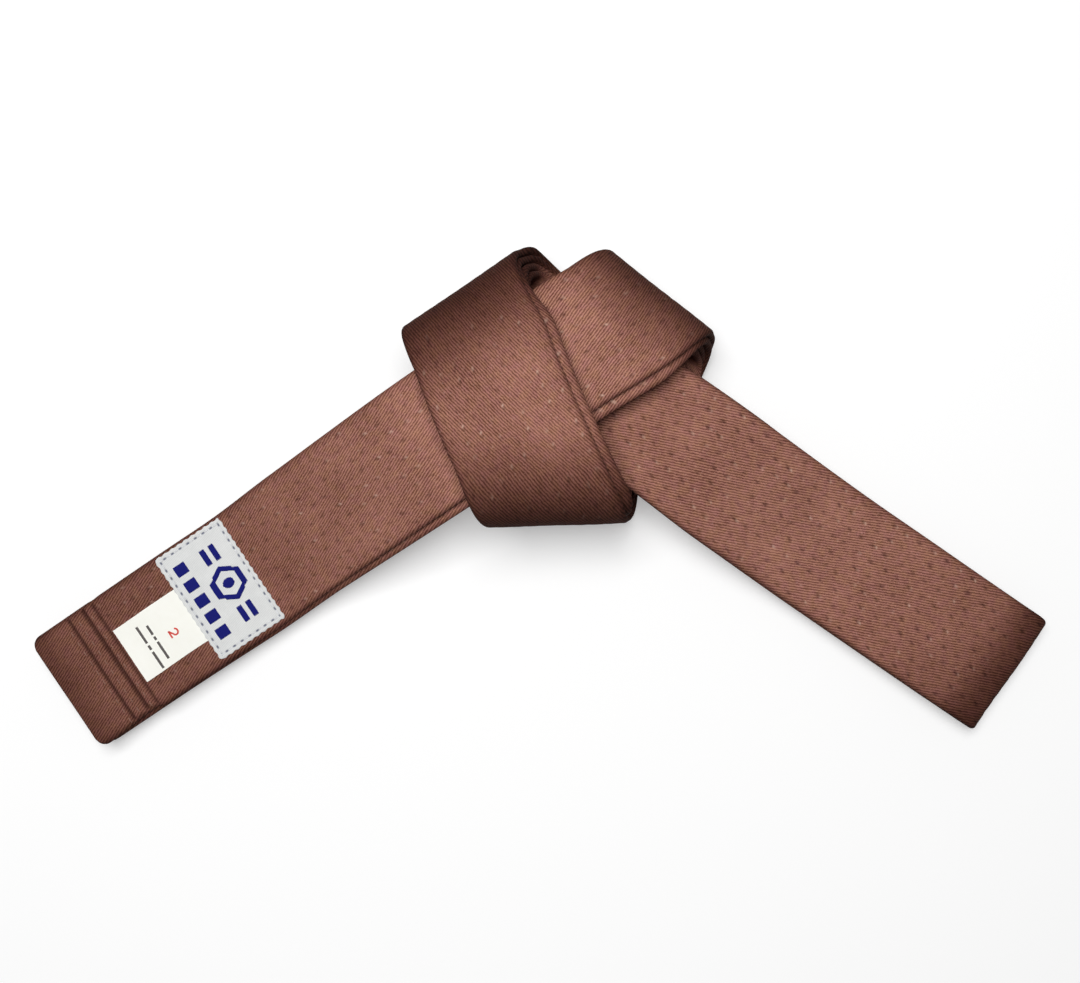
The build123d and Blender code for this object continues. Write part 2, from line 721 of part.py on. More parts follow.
# Looped end: layers 0 and 3 run round layers 1 and 2
right_pins = [Hairpin(LOOPED_END_S - LAYER_H[0] - HALF_T, 1, k_a, k_b,
                      RIGHT_BEND_S + HALF_GAP[k_a], RIGHT_BEND_S + HALF_GAP[k_b])
              for k_a, k_b in ((0, 3), (1, 2))]
save_runs("right_end", [hairpin_run(RIGHT, pin) for pin in right_pins])
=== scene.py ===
# A quilted brown twill belt, packed in four layers and folded flat three times, lying on
# the floor. From its left end at low x and y it climbs, turns down under the knot, up over
# it, and down again into the right tail. +Z is up.
#
# Belt coordinates, in mm: lon runs along the pack from its left end, lat runs across it
# (+ is on the left hand when walking along lon), and heights stand on layer 1's side.
import bpy
import math
import numpy as np
from math import sin, cos, pi, radians, atan2
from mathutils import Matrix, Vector


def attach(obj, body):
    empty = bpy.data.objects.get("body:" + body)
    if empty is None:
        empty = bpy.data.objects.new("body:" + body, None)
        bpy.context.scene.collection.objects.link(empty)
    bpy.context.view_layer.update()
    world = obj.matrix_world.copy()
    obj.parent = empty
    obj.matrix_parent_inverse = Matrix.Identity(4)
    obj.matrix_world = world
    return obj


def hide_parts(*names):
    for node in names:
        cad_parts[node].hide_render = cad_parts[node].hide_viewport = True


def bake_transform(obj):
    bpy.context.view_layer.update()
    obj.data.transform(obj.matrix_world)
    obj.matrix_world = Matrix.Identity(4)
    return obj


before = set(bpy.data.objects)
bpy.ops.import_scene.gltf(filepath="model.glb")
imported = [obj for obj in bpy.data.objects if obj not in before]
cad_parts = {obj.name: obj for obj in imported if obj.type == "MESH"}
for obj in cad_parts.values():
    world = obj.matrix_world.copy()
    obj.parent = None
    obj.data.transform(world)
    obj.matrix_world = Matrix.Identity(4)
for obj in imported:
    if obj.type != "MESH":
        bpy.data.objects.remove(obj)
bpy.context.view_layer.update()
MM = 0.001

# Cloth and pack
HALF = 1.19            # half a layer's thickness
HALF_WIDTH = 20.0
LAYER_PITCH = 2.5
LAYER_H = [LAYER_PITCH * (1.5 - k) for k in range(4)]
TOP = LAYER_H[0] + HALF
BELT_END = 604.7

# Heights of the four stretches' middle surfaces
LEVEL = 10.9
Z_LOW = 4.94
Z_TAIL, Z_LEFT, Z_TOP = Z_LOW + LEVEL, Z_LOW + 2 * LEVEL, Z_LOW + 3 * LEVEL
LEFT_RAMP, TAIL_RAMP = (68.0, 148.0), (476.0, 544.0)    # lon spans of the slopes

# Plan of the path; headings and bends in degrees
LEFT_HEADING, TOP_BEND, TAIL_BEND = 34.0, -9.5, 2.6
LEFT_START = np.array((-146.868, -62.951))
SHIFT = np.array((0.06, 2.63))      # moves the whole plan into the frame

# Jointed bodies on either side of each bend, and the bend's lon
BLEND_REACH = 10.0
LEFT_END_BEND = ("left_end", "left_tail", 80.0)
LEFT_KNOT_BEND = ("left_tail", "knot", 116.0)
RIGHT_KNOT_BEND = ("knot", "right_tail", 496.0)
RIGHT_END_BEND = ("right_tail", "right_end", 548.0)


def smooth(x):
    x = np.clip(x, 0, 1)
    return x * x * (3 - 2 * x)


def window(x, start, rise, end, fall):
    """1 between a smooth rise from start and a smooth fall from end."""
    return smooth((x - start) / rise) * (1 - smooth((x - end) / fall))


def bell(x, width, y=0.0, height=1.0):
    return np.exp(-(x / width) ** 2 - (y / height) ** 2)


# ---------------------------------------------------------------------------
# The folded path
# ---------------------------------------------------------------------------
class Fold:
    """A half turn over a straight line: two quarter arcs with an upright between."""

    def __init__(self, point, normal, radii, rise):
        self.point, self.normal = np.array(point), np.array(normal)
        self.radii, self.height, self.sign = radii, abs(rise), math.copysign(1, rise)
        self.length = pi / 2 * sum(radii) + self.height - sum(radii)

    def past(self, flat):
        return (flat - self.point) @ self.normal

    def unfold(self, flat):
        """Plan places after the fold, turned back to the near side of the line."""
        dist = self.past(flat)
        step = self.radii[0] - self.radii[1]
        return flat + ((step - (dist - self.length)) - dist)[..., None] * self.normal

    def turned(self, heading):
        return 2 * (atan2(self.normal[1], self.normal[0]) - pi / 2) - heading

    def roll(self, flat, start):
        """Points and normals round the fold, entered at height start."""
        first, second = self.radii
        dist = self.past(flat)
        arc, upright = pi / 2 * first, self.height - first - second
        turn1 = np.clip(dist / first, 0, pi / 2)
        turn2 = np.clip((dist - arc - upright) / second, 0, pi / 2)
        rise = (first * (1 - np.cos(turn1)) + np.clip(dist - arc, 0, upright)
                + second * np.sin(turn2))
        x = np.where(dist <= arc + upright, first * np.sin(turn1),
                     first - second + second * np.cos(turn2))
        x = np.where(dist < 0, dist, x)
        end = arc + upright + pi / 2 * second
        x = np.where(dist > end, first - second - (dist - end), x)
        z = start + self.sign * rise
        angle = turn1 + turn2
        point = np.concatenate([flat + (x - dist)[..., None] * self.normal, z[..., None]], -1)
        normal = np.stack([np.sin(angle) * self.normal[0], np.sin(angle) * self.normal[1],
                           -self.sign * np.cos(angle)], -1)
        return point, normal


FOLD1 = Fold((27.620, 50.921), (0.62251, 0.78261), (9.0, 9.0), -2 * LEVEL)
FOLD2 = Fold((6.415, 1.804), (0.03316, -0.99945), (7.0, 11.0), 3 * LEVEL)
FOLD3 = Fold((-14.554, 49.605), (-0.56208, 0.82708), (9.0, 9.0), -2 * LEVEL)


def direction(heading):
    return np.array((cos(heading), sin(heading)))


def bend_plane(flat, centre, heading, start, length, bend):
    """Bends the plan sideways over a length that begins start mm past the centre."""
    ahead = direction(heading)
    aside = np.array((-ahead[1], ahead[0]))
    dist, off = (flat - centre) @ ahead, (flat - centre) @ aside
    curve = bend / length
    angle = curve * np.clip(dist - start, 0, length)
    over = np.maximum(dist - start - length, 0)
    line_x = np.where(dist < start, dist, start + np.sin(angle) / curve + over * cos(bend))
    line_y = np.where(dist < start, 0, (1 - np.cos(angle)) / curve + over * sin(bend))
    x, y = line_x - off * np.sin(angle), line_y + off * np.cos(angle)
    return centre + x[..., None] * ahead + y[..., None] * aside


LEFT_DIR = direction(radians(LEFT_HEADING))
LEFT_ASIDE = np.array((-LEFT_DIR[1], LEFT_DIR[0]))
TOP_HEADING = FOLD2.turned(FOLD1.turned(radians(LEFT_HEADING)))
TAIL_HEADING = FOLD3.turned(TOP_HEADING + radians(TOP_BEND))
TAIL_DIR = direction(TAIL_HEADING + radians(TAIL_BEND))


def flat_left(lon, lat):
    return LEFT_START + lon[..., None] * LEFT_DIR + lat[..., None] * LEFT_ASIDE


def flat_low(lon, lat):
    return FOLD1.unfold(flat_left(lon, lat))


def flat_top(lon, lat):
    return FOLD2.unfold(flat_low(lon, lat))


# The bends of the top stretch and the tail start where the centre line leaves a fold
centre_lon = np.linspace(260, 460, 200001)
centre_lat = np.zeros_like(centre_lon)
left_fold2 = FOLD2.past(flat_low(centre_lon, centre_lat)) > FOLD2.length
TOP_START = flat_top(centre_lon[np.argmax(left_fold2)], np.array(0.0))


def bent_top(lon, lat):
    return bend_plane(flat_top(lon, lat), TOP_START, TOP_HEADING, 6.0, 60.0, radians(TOP_BEND))


def flat_tail(lon, lat):
    return FOLD3.unfold(bent_top(lon, lat))


left_fold3 = FOLD3.past(bent_top(centre_lon, centre_lat)) > FOLD3.length
TAIL_START = flat_tail(centre_lon[np.argmax(left_fold3 & (centre_lon > 380))], np.array(0.0))


def bent_tail(lon, lat):
    return bend_plane(flat_tail(lon, lat), TAIL_START, TAIL_HEADING, 4.0, 52.0,
                      radians(TAIL_BEND))


def ramp(lon, span, z_from, z_to, ahead):
    """Height of a smooth slope, and its upward normal."""
    part = np.clip((lon - span[0]) / (span[1] - span[0]), 0, 1)
    z = z_from + (z_to - z_from) * part * part * (3 - 2 * part)
    grade = (z_to - z_from) * 6 * part * (1 - part) / (span[1] - span[0])
    unit = 1 / np.sqrt(1 + grade * grade)
    return z, np.stack([-grade * unit * ahead[0], -grade * unit * ahead[1], unit], -1)


def surf(lon, lat):
    """Middle surface of the pack: points (..., 3) and normals on layer 1's side."""
    lon = np.asarray(lon, float) + 0 * np.asarray(lat, float)
    lat = np.asarray(lat, float) + 0 * lon
    flat = flat_left(lon, lat)
    z, normal = ramp(lon, LEFT_RAMP, Z_LOW, Z_LEFT, LEFT_DIR)
    point = np.concatenate([flat, z[..., None]], -1)

    def place(mask, new_point, new_normal):
        point[mask] = new_point[mask]
        normal[mask] = new_normal[mask]

    dist = FOLD1.past(flat)
    place(dist > 0, *FOLD1.roll(flat, Z_LEFT))
    beyond = dist > FOLD1.length
    flat = flat_low(lon, lat)
    place(beyond, *FOLD2.roll(flat, Z_LOW))
    beyond = beyond & (FOLD2.past(flat) > FOLD2.length)
    flat = bent_top(lon, lat)
    place(beyond, *FOLD3.roll(flat, Z_TOP))
    beyond = beyond & (FOLD3.past(flat) > FOLD3.length)
    z, upward = ramp(lon, TAIL_RAMP, Z_TAIL, Z_LOW, TAIL_DIR)
    place(beyond, np.concatenate([bent_tail(lon, lat), z[..., None]], -1), -upward)
    point[..., :2] += SHIFT
    return point, normal


def raised(lon, lat, height):
    """Points in metres at a height over the middle surface."""
    point, normal = surf(lon, lat)
    return (point + normal * np.asarray(height)[..., None]) * MM


def at(lon, height=0.0):
    return tuple(raised(np.array(float(lon)), np.array(0.0), height))


# ---------------------------------------------------------------------------
# Cloth relief: quilting rows, stitch dimples and slow unevenness
# ---------------------------------------------------------------------------
ROW_STEP, STITCH_PITCH = 4.35, 5.0


def scatter(seed, gain):
    return np.mod(np.sin(seed) * gain, 1.0)


def quilt(lon, lat, layer, side):
    """Relief of the quilted cloth over its plain face, with the share of stitch hole
    and of light speck at each point. Side is 0 on the face and 1 on the back."""
    row = np.clip(np.round(lat / ROW_STEP), -4, 4)
    phase = np.mod(row * 0.6180339 + (layer + 3 * side) * 0.37, 1.0) * STITCH_PITCH
    count = np.round((lon - phase) / STITCH_PITCH)
    rand1 = scatter(count * 12.9898 + row * 78.233 + layer * 3.7, 43758.5453)
    rand2 = scatter(count * 39.346 + row * 11.135 + layer * 5.1, 24634.6345)
    off_lat = lat - row * ROW_STEP - (rand1 - 0.5) * 0.55
    off_lon = lon - phase - count * STITCH_PITCH - (rand2 - 0.5) * 1.5
    # stitches are shallower over the knot and deeper on the right tail
    zone = 0.78 - 0.12 * window(lon, 300, 40, 400, 30) + 0.22 * smooth((lon - 430) / 30)
    deep = zone * (0.45 + 0.55 * np.mod(rand1 * 7.0 + rand2 * 3.0, 1.0))
    turn = (np.mod(rand1 * 5.0 + rand2 * 9.0, 1.0) - 0.5) * 0.8
    hole_lon = off_lon * np.cos(turn) + off_lat * np.sin(turn)
    hole_lat = off_lat * np.cos(turn) - off_lon * np.sin(turn)
    shown = np.clip(np.mod(rand1 * 17.0 + rand2 * 5.0, 1.0) * 4 - 2.5
                    + 0.9 * window(lon, 310, 20, 350, 25), 0, 1)
    hole = deep * bell(hole_lat, 0.44, hole_lon, 1.0)
    pull = deep * bell(off_lat, 1.1, off_lon, 1.5)
    relief = (-0.05 * bell(off_lat, 0.8) - 0.26 * hole - 0.14 * pull
              - 0.02 * np.cos(2 * pi * (lat - row * ROW_STEP) / ROW_STEP))
    speck = shown * bell(off_lat, 0.26, off_lon - 0.95, 0.42)
    return relief, hole, speck


def wander(lon, lat, layer):
    """Slow unevenness of a whole layer, out of its plane."""
    phase = layer * 1.7
    return (0.10 * np.sin(lon / 9.3 + phase) * np.cos(lat / 7.1 + phase)
            + 0.07 * np.sin(lon / 4.7 + lat / 5.3 + 2 * phase)
            + 0.05 * np.sin(lon / 17.0 - lat / 9.0 + phase))


# Sideways shift of each layer: over its whole run, its slow sway, and on the right tail
RUN_SHIFT = (0.0, -3.3, 0.0, 0.0)
SWAY = (0.25, -0.2, 0.35, -0.3)
TAIL_SHIFT = (-1.3, -1.0, -0.5, 0.0)


def side_shift(lon, layer):
    full = window(lon, 20, 140.0, 372, 26.0) * (1 - 0.88 * window(lon, 203, 24.0, 246, 26.0))
    base = RUN_SHIFT[layer] * full + 0.9 * window(lon, 62, 30, 186, 22)
    sway = SWAY[layer] * np.sin(lon / (31 + 5 * layer) + layer)
    return base + sway + TAIL_SHIFT[layer] * window(lon, 440, 26, 492, 56)


# Trims of the -lat edge. Layers 1-3 in the bunch under the knot: depth, length of its fall
BUNCH = ((6.3, 34), (11.0, 40), (9.0, 34))
# Rounded tips and standing lip at the top fold: centre, width, trim of each layer
EDGE_BELLS = (
    (317, 8.0, (0.0, 1.5, 1.5, 0.5)),
    (307.5, 7.5, (3.9, 4.2, 2.4, 1.0)),
    (327, 5.0, (-0.8, -0.9, -0.2, 0.0)),
)
# Curl and lip after it: start, rise, end, fall, trim of each layer
EDGE_SPANS = (
    (383, 13, 400, 12, (1.8, 1.6, 0.8, 0.4)),
    (410, 9, 427, 14, (-2.6, -1.5, 0.0, 0.0)),
)


def gather(lon, lat, layer):
    """The pack is bunched where it folds under the knot: every layer at its -lat edge,
    layer 4 at both edges. Returns the gathered lat."""
    slant = lon - 0.45 * lat
    trim_pos = 0.0
    if layer == 3:
        trim_neg = 8.5 * window(slant, 284, 14, 311, 16)
        trim_pos = 7.5 * window(slant, 299, 15, 324, 16)
    else:
        depth, fall = BUNCH[layer]
        trim_neg = depth * window(slant, 262, 24, 284, fall)
    trim_pos = trim_pos + 1.3 * bell(slant - 208, 9.0)
    for centre, width, trims in EDGE_BELLS:
        trim_neg = trim_neg + trims[layer] * bell(slant - centre, width)
    for *span, trims in EDGE_SPANS:
        trim_neg = trim_neg + trims[layer] * window(slant, *span)
    # the right tail lies a little wider on its +lat side
    trim_pos = trim_pos - 1.1 * smooth((lon - 470) / 30)
    full = 2 * HALF_WIDTH
    return -HALF_WIDTH + trim_neg + (lat + HALF_WIDTH) / full * (full - trim_neg - trim_pos)


FOLD_PAINTED_SHADE = (0.73, 0.80, 0.82)      # how much painted shade each fold puts on the cloth


def painted_shading_at(lon, lat):
    """Painted shading: the cloth is coloured darker where it is turned over hard, at its ends and
    along its edges, and lighter on the stretch before the first fold.
    """
    dist1 = FOLD1.past(flat_left(lon, lat))
    dist2 = FOLD2.past(flat_low(lon, lat))
    dist3 = FOLD3.past(bent_top(lon, lat))
    past1 = dist1 > FOLD1.length
    past2 = past1 & (dist2 > FOLD2.length / 2)
    painted_shading = 1 - FOLD_PAINTED_SHADE[0] * (1 - smooth((np.abs(dist1 - FOLD1.length / 2) - 6) / 18))
    exit2 = np.maximum(dist2 - (FOLD2.length - 17), 0)
    fold2_painted_shade = 1 - FOLD_PAINTED_SHADE[1] * (1 - smooth((exit2 - 3) / 31)) * (dist2 > 0)
    painted_shading = np.where(past1, np.minimum(painted_shading, fold2_painted_shade), painted_shading)
    fold3_painted_shade = 1 - FOLD_PAINTED_SHADE[2] * (1 - smooth((np.abs(dist3 - FOLD3.length / 2) - 7) / 26))
    painted_shading = np.where(past2, np.minimum(painted_shading, fold3_painted_shade), painted_shading)
    # painted shade on the left end and tail, the right tail and the two edges; painted light on
    # the stretch before the first fold
    painted_shading = painted_shading * (0.58 + 0.42 * smooth(lon / 10.0)) * (0.58 + 0.42 * smooth((lon - 22) / 112.0))
    painted_shading = painted_shading * (1 - 0.09 * smooth((lon - 535) / 50))
    edge = smooth((np.abs(lat) - 16.8) / 3.2)
    painted_shading = painted_shading * (1 - 0.22 * edge * (1 + 0.6 * (1 - smooth((lon - 60) / 50))))
    painted_shading = painted_shading * (1 + 0.15 * window(lon, 126, 20, 196, 10))
    # painted shade at the right end, darker still on its +lat side
    corner = smooth((lat - 4) / 16) * smooth((lon - 565) / 30)
    end = (1 - 0.10 * smooth((lon - 562) / 26.0)) * (1 - 0.68 * smooth((lon - 586) / 16.0))
    return painted_shading * end * (1 - 0.24 * corner)


def hem(lon):
    """Relief of the turned-back hem at the left end, and its groove share."""
    groove1, groove2, groove3 = [bell(lon - centre, width) for centre, width in
                                 ((13.0, 0.62), (18.35, 0.68), (19.95, 0.25))]
    relief = 0.34 * (1 - smooth((lon - 20.9) / 0.8))
    relief = relief - 0.55 * groove1 - 0.85 * groove2 - 0.10 * groove3
    for swell, start, length in ((0.30, 13.2, 5.0), (0.34, 18.5, 2.9)):
        arch = np.sin(pi * np.clip((lon - start) / length, 0, 1))
        relief = relief + swell * np.clip(arch, 0, 1) ** 0.7
    edge_line = bell(lon - 21.9, 0.6)
    groove = np.maximum.reduce([groove1, groove2, 0.2 * groove3, 0.95 * edge_line])
    return relief * (lon < 24), groove


# ---------------------------------------------------------------------------
# Paths a ribbon can follow. mid() gives middle points and outward normals, cloth() the
# belt coordinates and layer of the relief, returning() the stations on the way back.
# ---------------------------------------------------------------------------
class Layer:
    """One layer with its own sideways shift. Outward is layer 1's side, or layer 4's
    when flipped."""
    total = 0.0

    def __init__(self, layer, flip=False):
        self.layer, self.sign = layer, -1 if flip else 1

    def mid(self, lon, lat):
        lat = self.sign * lat
        shifted = gather(lon, lat, self.layer) + side_shift(lon, self.layer)
        point, normal = surf(lon, shifted)
        return point + normal * LAYER_H[self.layer], self.sign * normal

    def cloth(self, lon, lat):
        return lon, lat, self.layer

    def returning(self, lon):
        return np.zeros(len(lon), bool)


class Hairpin:
    """Along layer first, round the end, back along layer second. Lon keeps growing (or
    falling, when out is -1) past the end; outward is outside the loop."""

    def __init__(self, first, second, centre, out):
        self.first, self.second, self.centre, self.out = first, second, centre, out
        self.radius = (LAYER_H[first] - LAYER_H[second]) / 2
        self.turn = pi * self.radius
        self.total = 2 * centre + out * self.turn

    def mid(self, lon, lat):
        dist = (lon - self.centre) * self.out
        angle = np.clip(dist / self.radius, 0, pi)
        after = np.clip(dist - self.turn, 0, None)
        real = self.centre + self.out * (np.minimum(dist, 0) - after)
        fade = smooth(np.abs(dist - self.turn / 2) / 14.0 - 0.2)
        shift = np.where(dist > self.turn, side_shift(real, self.second),
                         side_shift(real, self.first)) * fade
        if self.out > 0:
            lat = lat + 1.1 * (lat + HALF_WIDTH) / (2 * HALF_WIDTH)
        point, normal = surf(real, lat + shift)
        ahead = surf(real + 0.05, lat + shift)[0] - surf(real - 0.05, lat + shift)[0]
        ahead /= np.linalg.norm(ahead, axis=-1, keepdims=True)
        middle = (LAYER_H[self.first] + LAYER_H[self.second]) / 2
        height = middle + self.radius * np.cos(angle)
        reach = self.out * self.radius * np.sin(angle)
        outward = (normal * np.cos(angle)[..., None]
                   + ahead * (self.out * np.sin(angle))[..., None])
        return point + normal * height[..., None] + ahead * reach[..., None], outward

    def cloth(self, lon, lat):
        dist = (lon - self.centre) * self.out
        back = self.returning(lon)
        real = np.where(back, self.centre + self.out * (self.turn - dist), lon)
        return real, np.where(back, -lat, lat), np.where(back, self.second, self.first)

    def returning(self, lon):
        return (lon - self.centre) * self.out > self.turn / 2


# ---------------------------------------------------------------------------
# Materials
# ---------------------------------------------------------------------------
def srgb(*rgb):
    return tuple(c / 255 / 12.92 if c / 255 <= 0.04045 else ((c / 255 + 0.055) / 1.055) ** 2.4
                 for c in rgb) + (1.0,)


class Nodes:
    """Short calls for building a shader tree."""

    def __init__(self, tree):
        self.tree = tree

    def new(self, kind, **settings):
        node = self.tree.nodes.new(kind)
        for key, value in settings.items():
            setattr(node, key, value)
        return node

    def put(self, socket, value):
        if hasattr(value, "links"):
            self.tree.links.new(value, socket)
        else:
            socket.default_value = value

    def math(self, operation, *values):
        node = self.new("ShaderNodeMath", operation=operation)
        for socket, value in zip(node.inputs, (values + (0.0, 0.0))[:3]):
            self.put(socket, value)
        return node.outputs[0]

    def mul(self, first, second):
        return self.math("MULTIPLY", first, second)

    def add(self, first, second):
        return self.math("ADD", first, second)

    def mul_add(self, value, gain, plus):
        return self.math("MULTIPLY_ADD", value, gain, plus)

    def wave(self, value, period):
        """Sine wave from 0 to 1."""
        return self.mul_add(self.math("SINE", self.mul(value, 2 * pi / period)), 0.5, 0.5)

    def centred(self, value, gain):
        return self.mul(self.math("SUBTRACT", value, 0.5), gain)

    def mix(self, share, first, second, blend="MIX"):
        node = self.new("ShaderNodeMix", data_type="RGBA", blend_type=blend)
        for index, value in ((0, share), (6, first), (7, second)):
            self.put(node.inputs[index], value)
        return node.outputs[2]

    def tint(self, color, mask, amount, rgb):
        return self.mix(self.mul(mask, amount), color, srgb(*rgb))

    def noise(self, vector, scale, detail=2.0, rough=0.5):
        node = self.new("ShaderNodeTexNoise")
        self.put(node.inputs["Vector"], vector)
        node.inputs["Scale"].default_value = scale
        node.inputs["Detail"].default_value = detail
        node.inputs["Roughness"].default_value = rough
        return node.outputs[0]

    def remap(self, value, low, high, to_low=0.0, to_high=1.0, kind="LINEAR"):
        node = self.new("ShaderNodeMapRange", interpolation_type=kind)
        for socket, item in zip(node.inputs, (value, low, high, to_low, to_high)):
            self.put(socket, item)
        return node.outputs[0]


MATERIALS = {}


class Material(Nodes):
    def __init__(self, name):
        self.mat = MATERIALS[name] = bpy.data.materials.new(name)
        self.mat.use_nodes = True
        super().__init__(self.mat.node_tree)
        self.bsdf = self.tree.nodes["Principled BSDF"]

    def uv(self):
        """The belt coordinates: as a vector, along, across."""
        node = self.new("ShaderNodeUVMap", uv_map="SV")
        split = self.new("ShaderNodeSeparateXYZ")
        self.put(split.inputs[0], node.outputs[0])
        return node.outputs[0], split.outputs[0], split.outputs[1]

    def attr(self, name):
        return self.new("ShaderNodeAttribute", attribute_name=name).outputs["Fac"]

    def finish(self, color, rough, bump, strength, dist, sheen, spec):
        self.put(self.bsdf.inputs["Base Color"], color)
        self.put(self.bsdf.inputs["Roughness"], rough)
        self.bsdf.inputs["Specular IOR Level"].default_value = spec
        self.bsdf.inputs["Sheen Weight"].default_value = sheen
        self.bsdf.inputs["Sheen Roughness"].default_value = 0.6
        node = self.new("ShaderNodeBump")
        node.inputs["Strength"].default_value = strength
        node.inputs["Distance"].default_value = dist
        self.put(node.inputs["Height"], bump)
        self.put(self.bsdf.inputs["Normal"], node.outputs[0])


def twill_material():
    m = Material("brown_twill")
    vec, along, across = m.uv()
    # twill ribs, slanted and wobbling
    slant = radians(23.5)
    wobble = m.centred(m.noise(vec, scale=0.05), gain=0.9)
    wobble = m.add(wobble, m.centred(m.noise(vec, scale=0.9, detail=1.0), gain=0.42))
    across_rib = m.add(m.mul(along, -sin(slant)), m.mul(across, cos(slant)))
    rib = m.wave(m.add(across_rib, wobble), period=0.78)
    # threads crossing each rib
    cross = radians(65)
    yarn = m.wave(m.add(m.mul(along, cos(cross)), m.mul(across, sin(cross))), period=0.42)
    # fibres, light flecks, dull spots, hue drift, wide patches, rare light specks
    fibre = m.noise(vec, scale=2.6, detail=3.0, rough=0.68)
    fleck = m.remap(m.noise(vec, scale=1.9, detail=1.0), low=0.60, high=0.74)
    dull = m.remap(m.noise(vec, scale=1.7, detail=1.0), low=0.26, high=0.40,
                   to_low=1.0, to_high=0.0)
    hue = m.remap(m.noise(vec, scale=0.33, detail=4.0, rough=0.62), low=0.36, high=0.64)
    patch = m.noise(vec, scale=0.06, detail=3.0, rough=0.55)
    speck = m.remap(m.noise(vec, scale=1.15, detail=0.0), low=0.735, high=0.80)
    # share of the light cloth colour
    shade = m.mul_add(fibre, gain=0.70, plus=-0.15)
    shade = m.mul_add(yarn, gain=0.12, plus=shade)
    shade = m.mul_add(rib, gain=0.60, plus=shade)
    shade = m.add(shade, m.centred(patch, gain=0.45))
    mottle = m.noise(vec, scale=0.55, detail=2.0, rough=0.6)
    shade = m.add(shade, m.centred(mottle, gain=0.42))
    color = m.mix(m.remap(shade, low=0.16, high=0.96), srgb(95, 56, 45), srgb(187, 133, 116))
    color = m.tint(color, fleck, amount=0.34, rgb=(198, 150, 128))
    color = m.tint(color, dull, amount=0.30, rgb=(92, 54, 48))
    drift = m.mix(hue, first=(1.0, 0.95, 1.06, 1), second=(1.01, 1.03, 0.92, 1))
    color = m.mix(1.0, color, drift, "MULTIPLY")
    color = m.tint(color, speck, amount=0.20, rgb=(206, 170, 156))
    # stitch specks, painted shade in the stitch holes and hem grooves, then the painted shading
    # of folds, ends and edges
    color = m.tint(color, m.attr("row"), amount=0.78, rgb=(222, 186, 168))
    hole = m.remap(m.attr("painted_recess_shade"), low=0.08, high=0.80)
    color = m.tint(color, hole, amount=0.72, rgb=(62, 33, 27))
    painted_shading = m.attr("painted_shading")
    painted_shading_rgb = m.new("ShaderNodeCombineXYZ")
    for socket, power in zip(painted_shading_rgb.inputs, (0.94, 1.08, 1.12)):
        m.put(socket, m.math("POWER", painted_shading, power))
    color = m.mix(1.0, color, painted_shading_rgb.outputs[0], "MULTIPLY")
    bump = m.add(m.mul(rib, 0.75), m.mul(yarn, 0.25))
    bump = m.add(bump, m.mul(fibre, 0.5))
    rough = m.remap(fibre, low=0.2, high=0.8, to_low=0.82, to_high=0.95)
    m.finish(color, rough, bump, strength=0.45, dist=0.00022, sheen=0.0, spec=0.07)


def label_material():
    m = Material("label_white")
    vec, along, across = m.uv()
    weave = m.mul(m.wave(along, period=0.45), m.wave(across, period=0.32))
    grain = m.noise(vec, scale=1.6, detail=4.0, rough=0.7)
    patch = m.noise(vec, scale=0.22)
    shade = m.mul_add(weave, gain=0.5, plus=m.mul_add(grain, gain=0.3, plus=m.mul(patch, 0.25)))
    color = m.mix(m.remap(shade, low=0.1, high=0.9), srgb(203, 205, 205), srgb(254, 254, 252))
    # painted shade along the stitch line's groove and in its needle holes
    color = m.tint(color, m.attr("row"), amount=0.16, rgb=(150, 154, 162))
    hole = m.remap(m.attr("painted_recess_shade"), low=0.18, high=0.75)
    color = m.tint(color, hole, amount=0.90, rgb=(86, 92, 116))
    bump = m.add(weave, m.mul(grain, 0.4))
    m.finish(color, 0.8, bump, strength=0.35, dist=0.00015, sheen=0.1, spec=0.25)


def thread_material(name, dark, light, pitch=0.3, rough=0.6, spec=0.35):
    m = Material(name)
    vec, along, across = m.uv()
    twist = m.wave(m.add(m.mul(along, 0.8), m.mul(across, 0.6)), period=pitch)
    grain = m.noise(vec, scale=1.2)
    color = m.mix(m.mul_add(twist, gain=0.6, plus=m.mul(grain, 0.4)), srgb(*dark), srgb(*light))
    m.finish(color, rough, twist, strength=0.4, dist=0.0001, sheen=0.05, spec=spec)


def tag_material():
    m = Material("tag_ivory")
    vec, along, across = m.uv()
    warp = m.wave(across, period=0.36)
    weft = m.wave(along, period=0.22)
    grain = m.noise(vec, scale=0.5, detail=3.0)
    shade = m.mul_add(warp, gain=0.4, plus=m.mul_add(weft, gain=0.2, plus=m.mul(grain, 0.4)))
    color = m.mix(shade, srgb(246, 245, 234), srgb(255, 255, 250))
    bump = m.add(warp, m.mul(weft, 0.5))
    m.finish(color, 0.45, bump, strength=0.15, dist=0.0001, sheen=0.2, spec=0.45)


twill_material()
label_material()
thread_material("label_thread", dark=(205, 208, 214), light=(250, 250, 250))
thread_material("emblem_blue", dark=(6, 10, 92), light=(26, 32, 136), rough=0.65, spec=0.12)
thread_material("quilting_thread", dark=(104, 66, 54), light=(160, 116, 100))
tag_material()
thread_material("tag_print_red", dark=(200, 52, 44), light=(228, 84, 70), pitch=0.25)
thread_material("tag_print_dark", dark=(70, 66, 66), light=(104, 98, 96), pitch=0.25)


# ---------------------------------------------------------------------------
# Mesh of one ribbon: a closed cross-section swept along a path
# ---------------------------------------------------------------------------
FACE, BACK, EDGE = 0, 1, 2


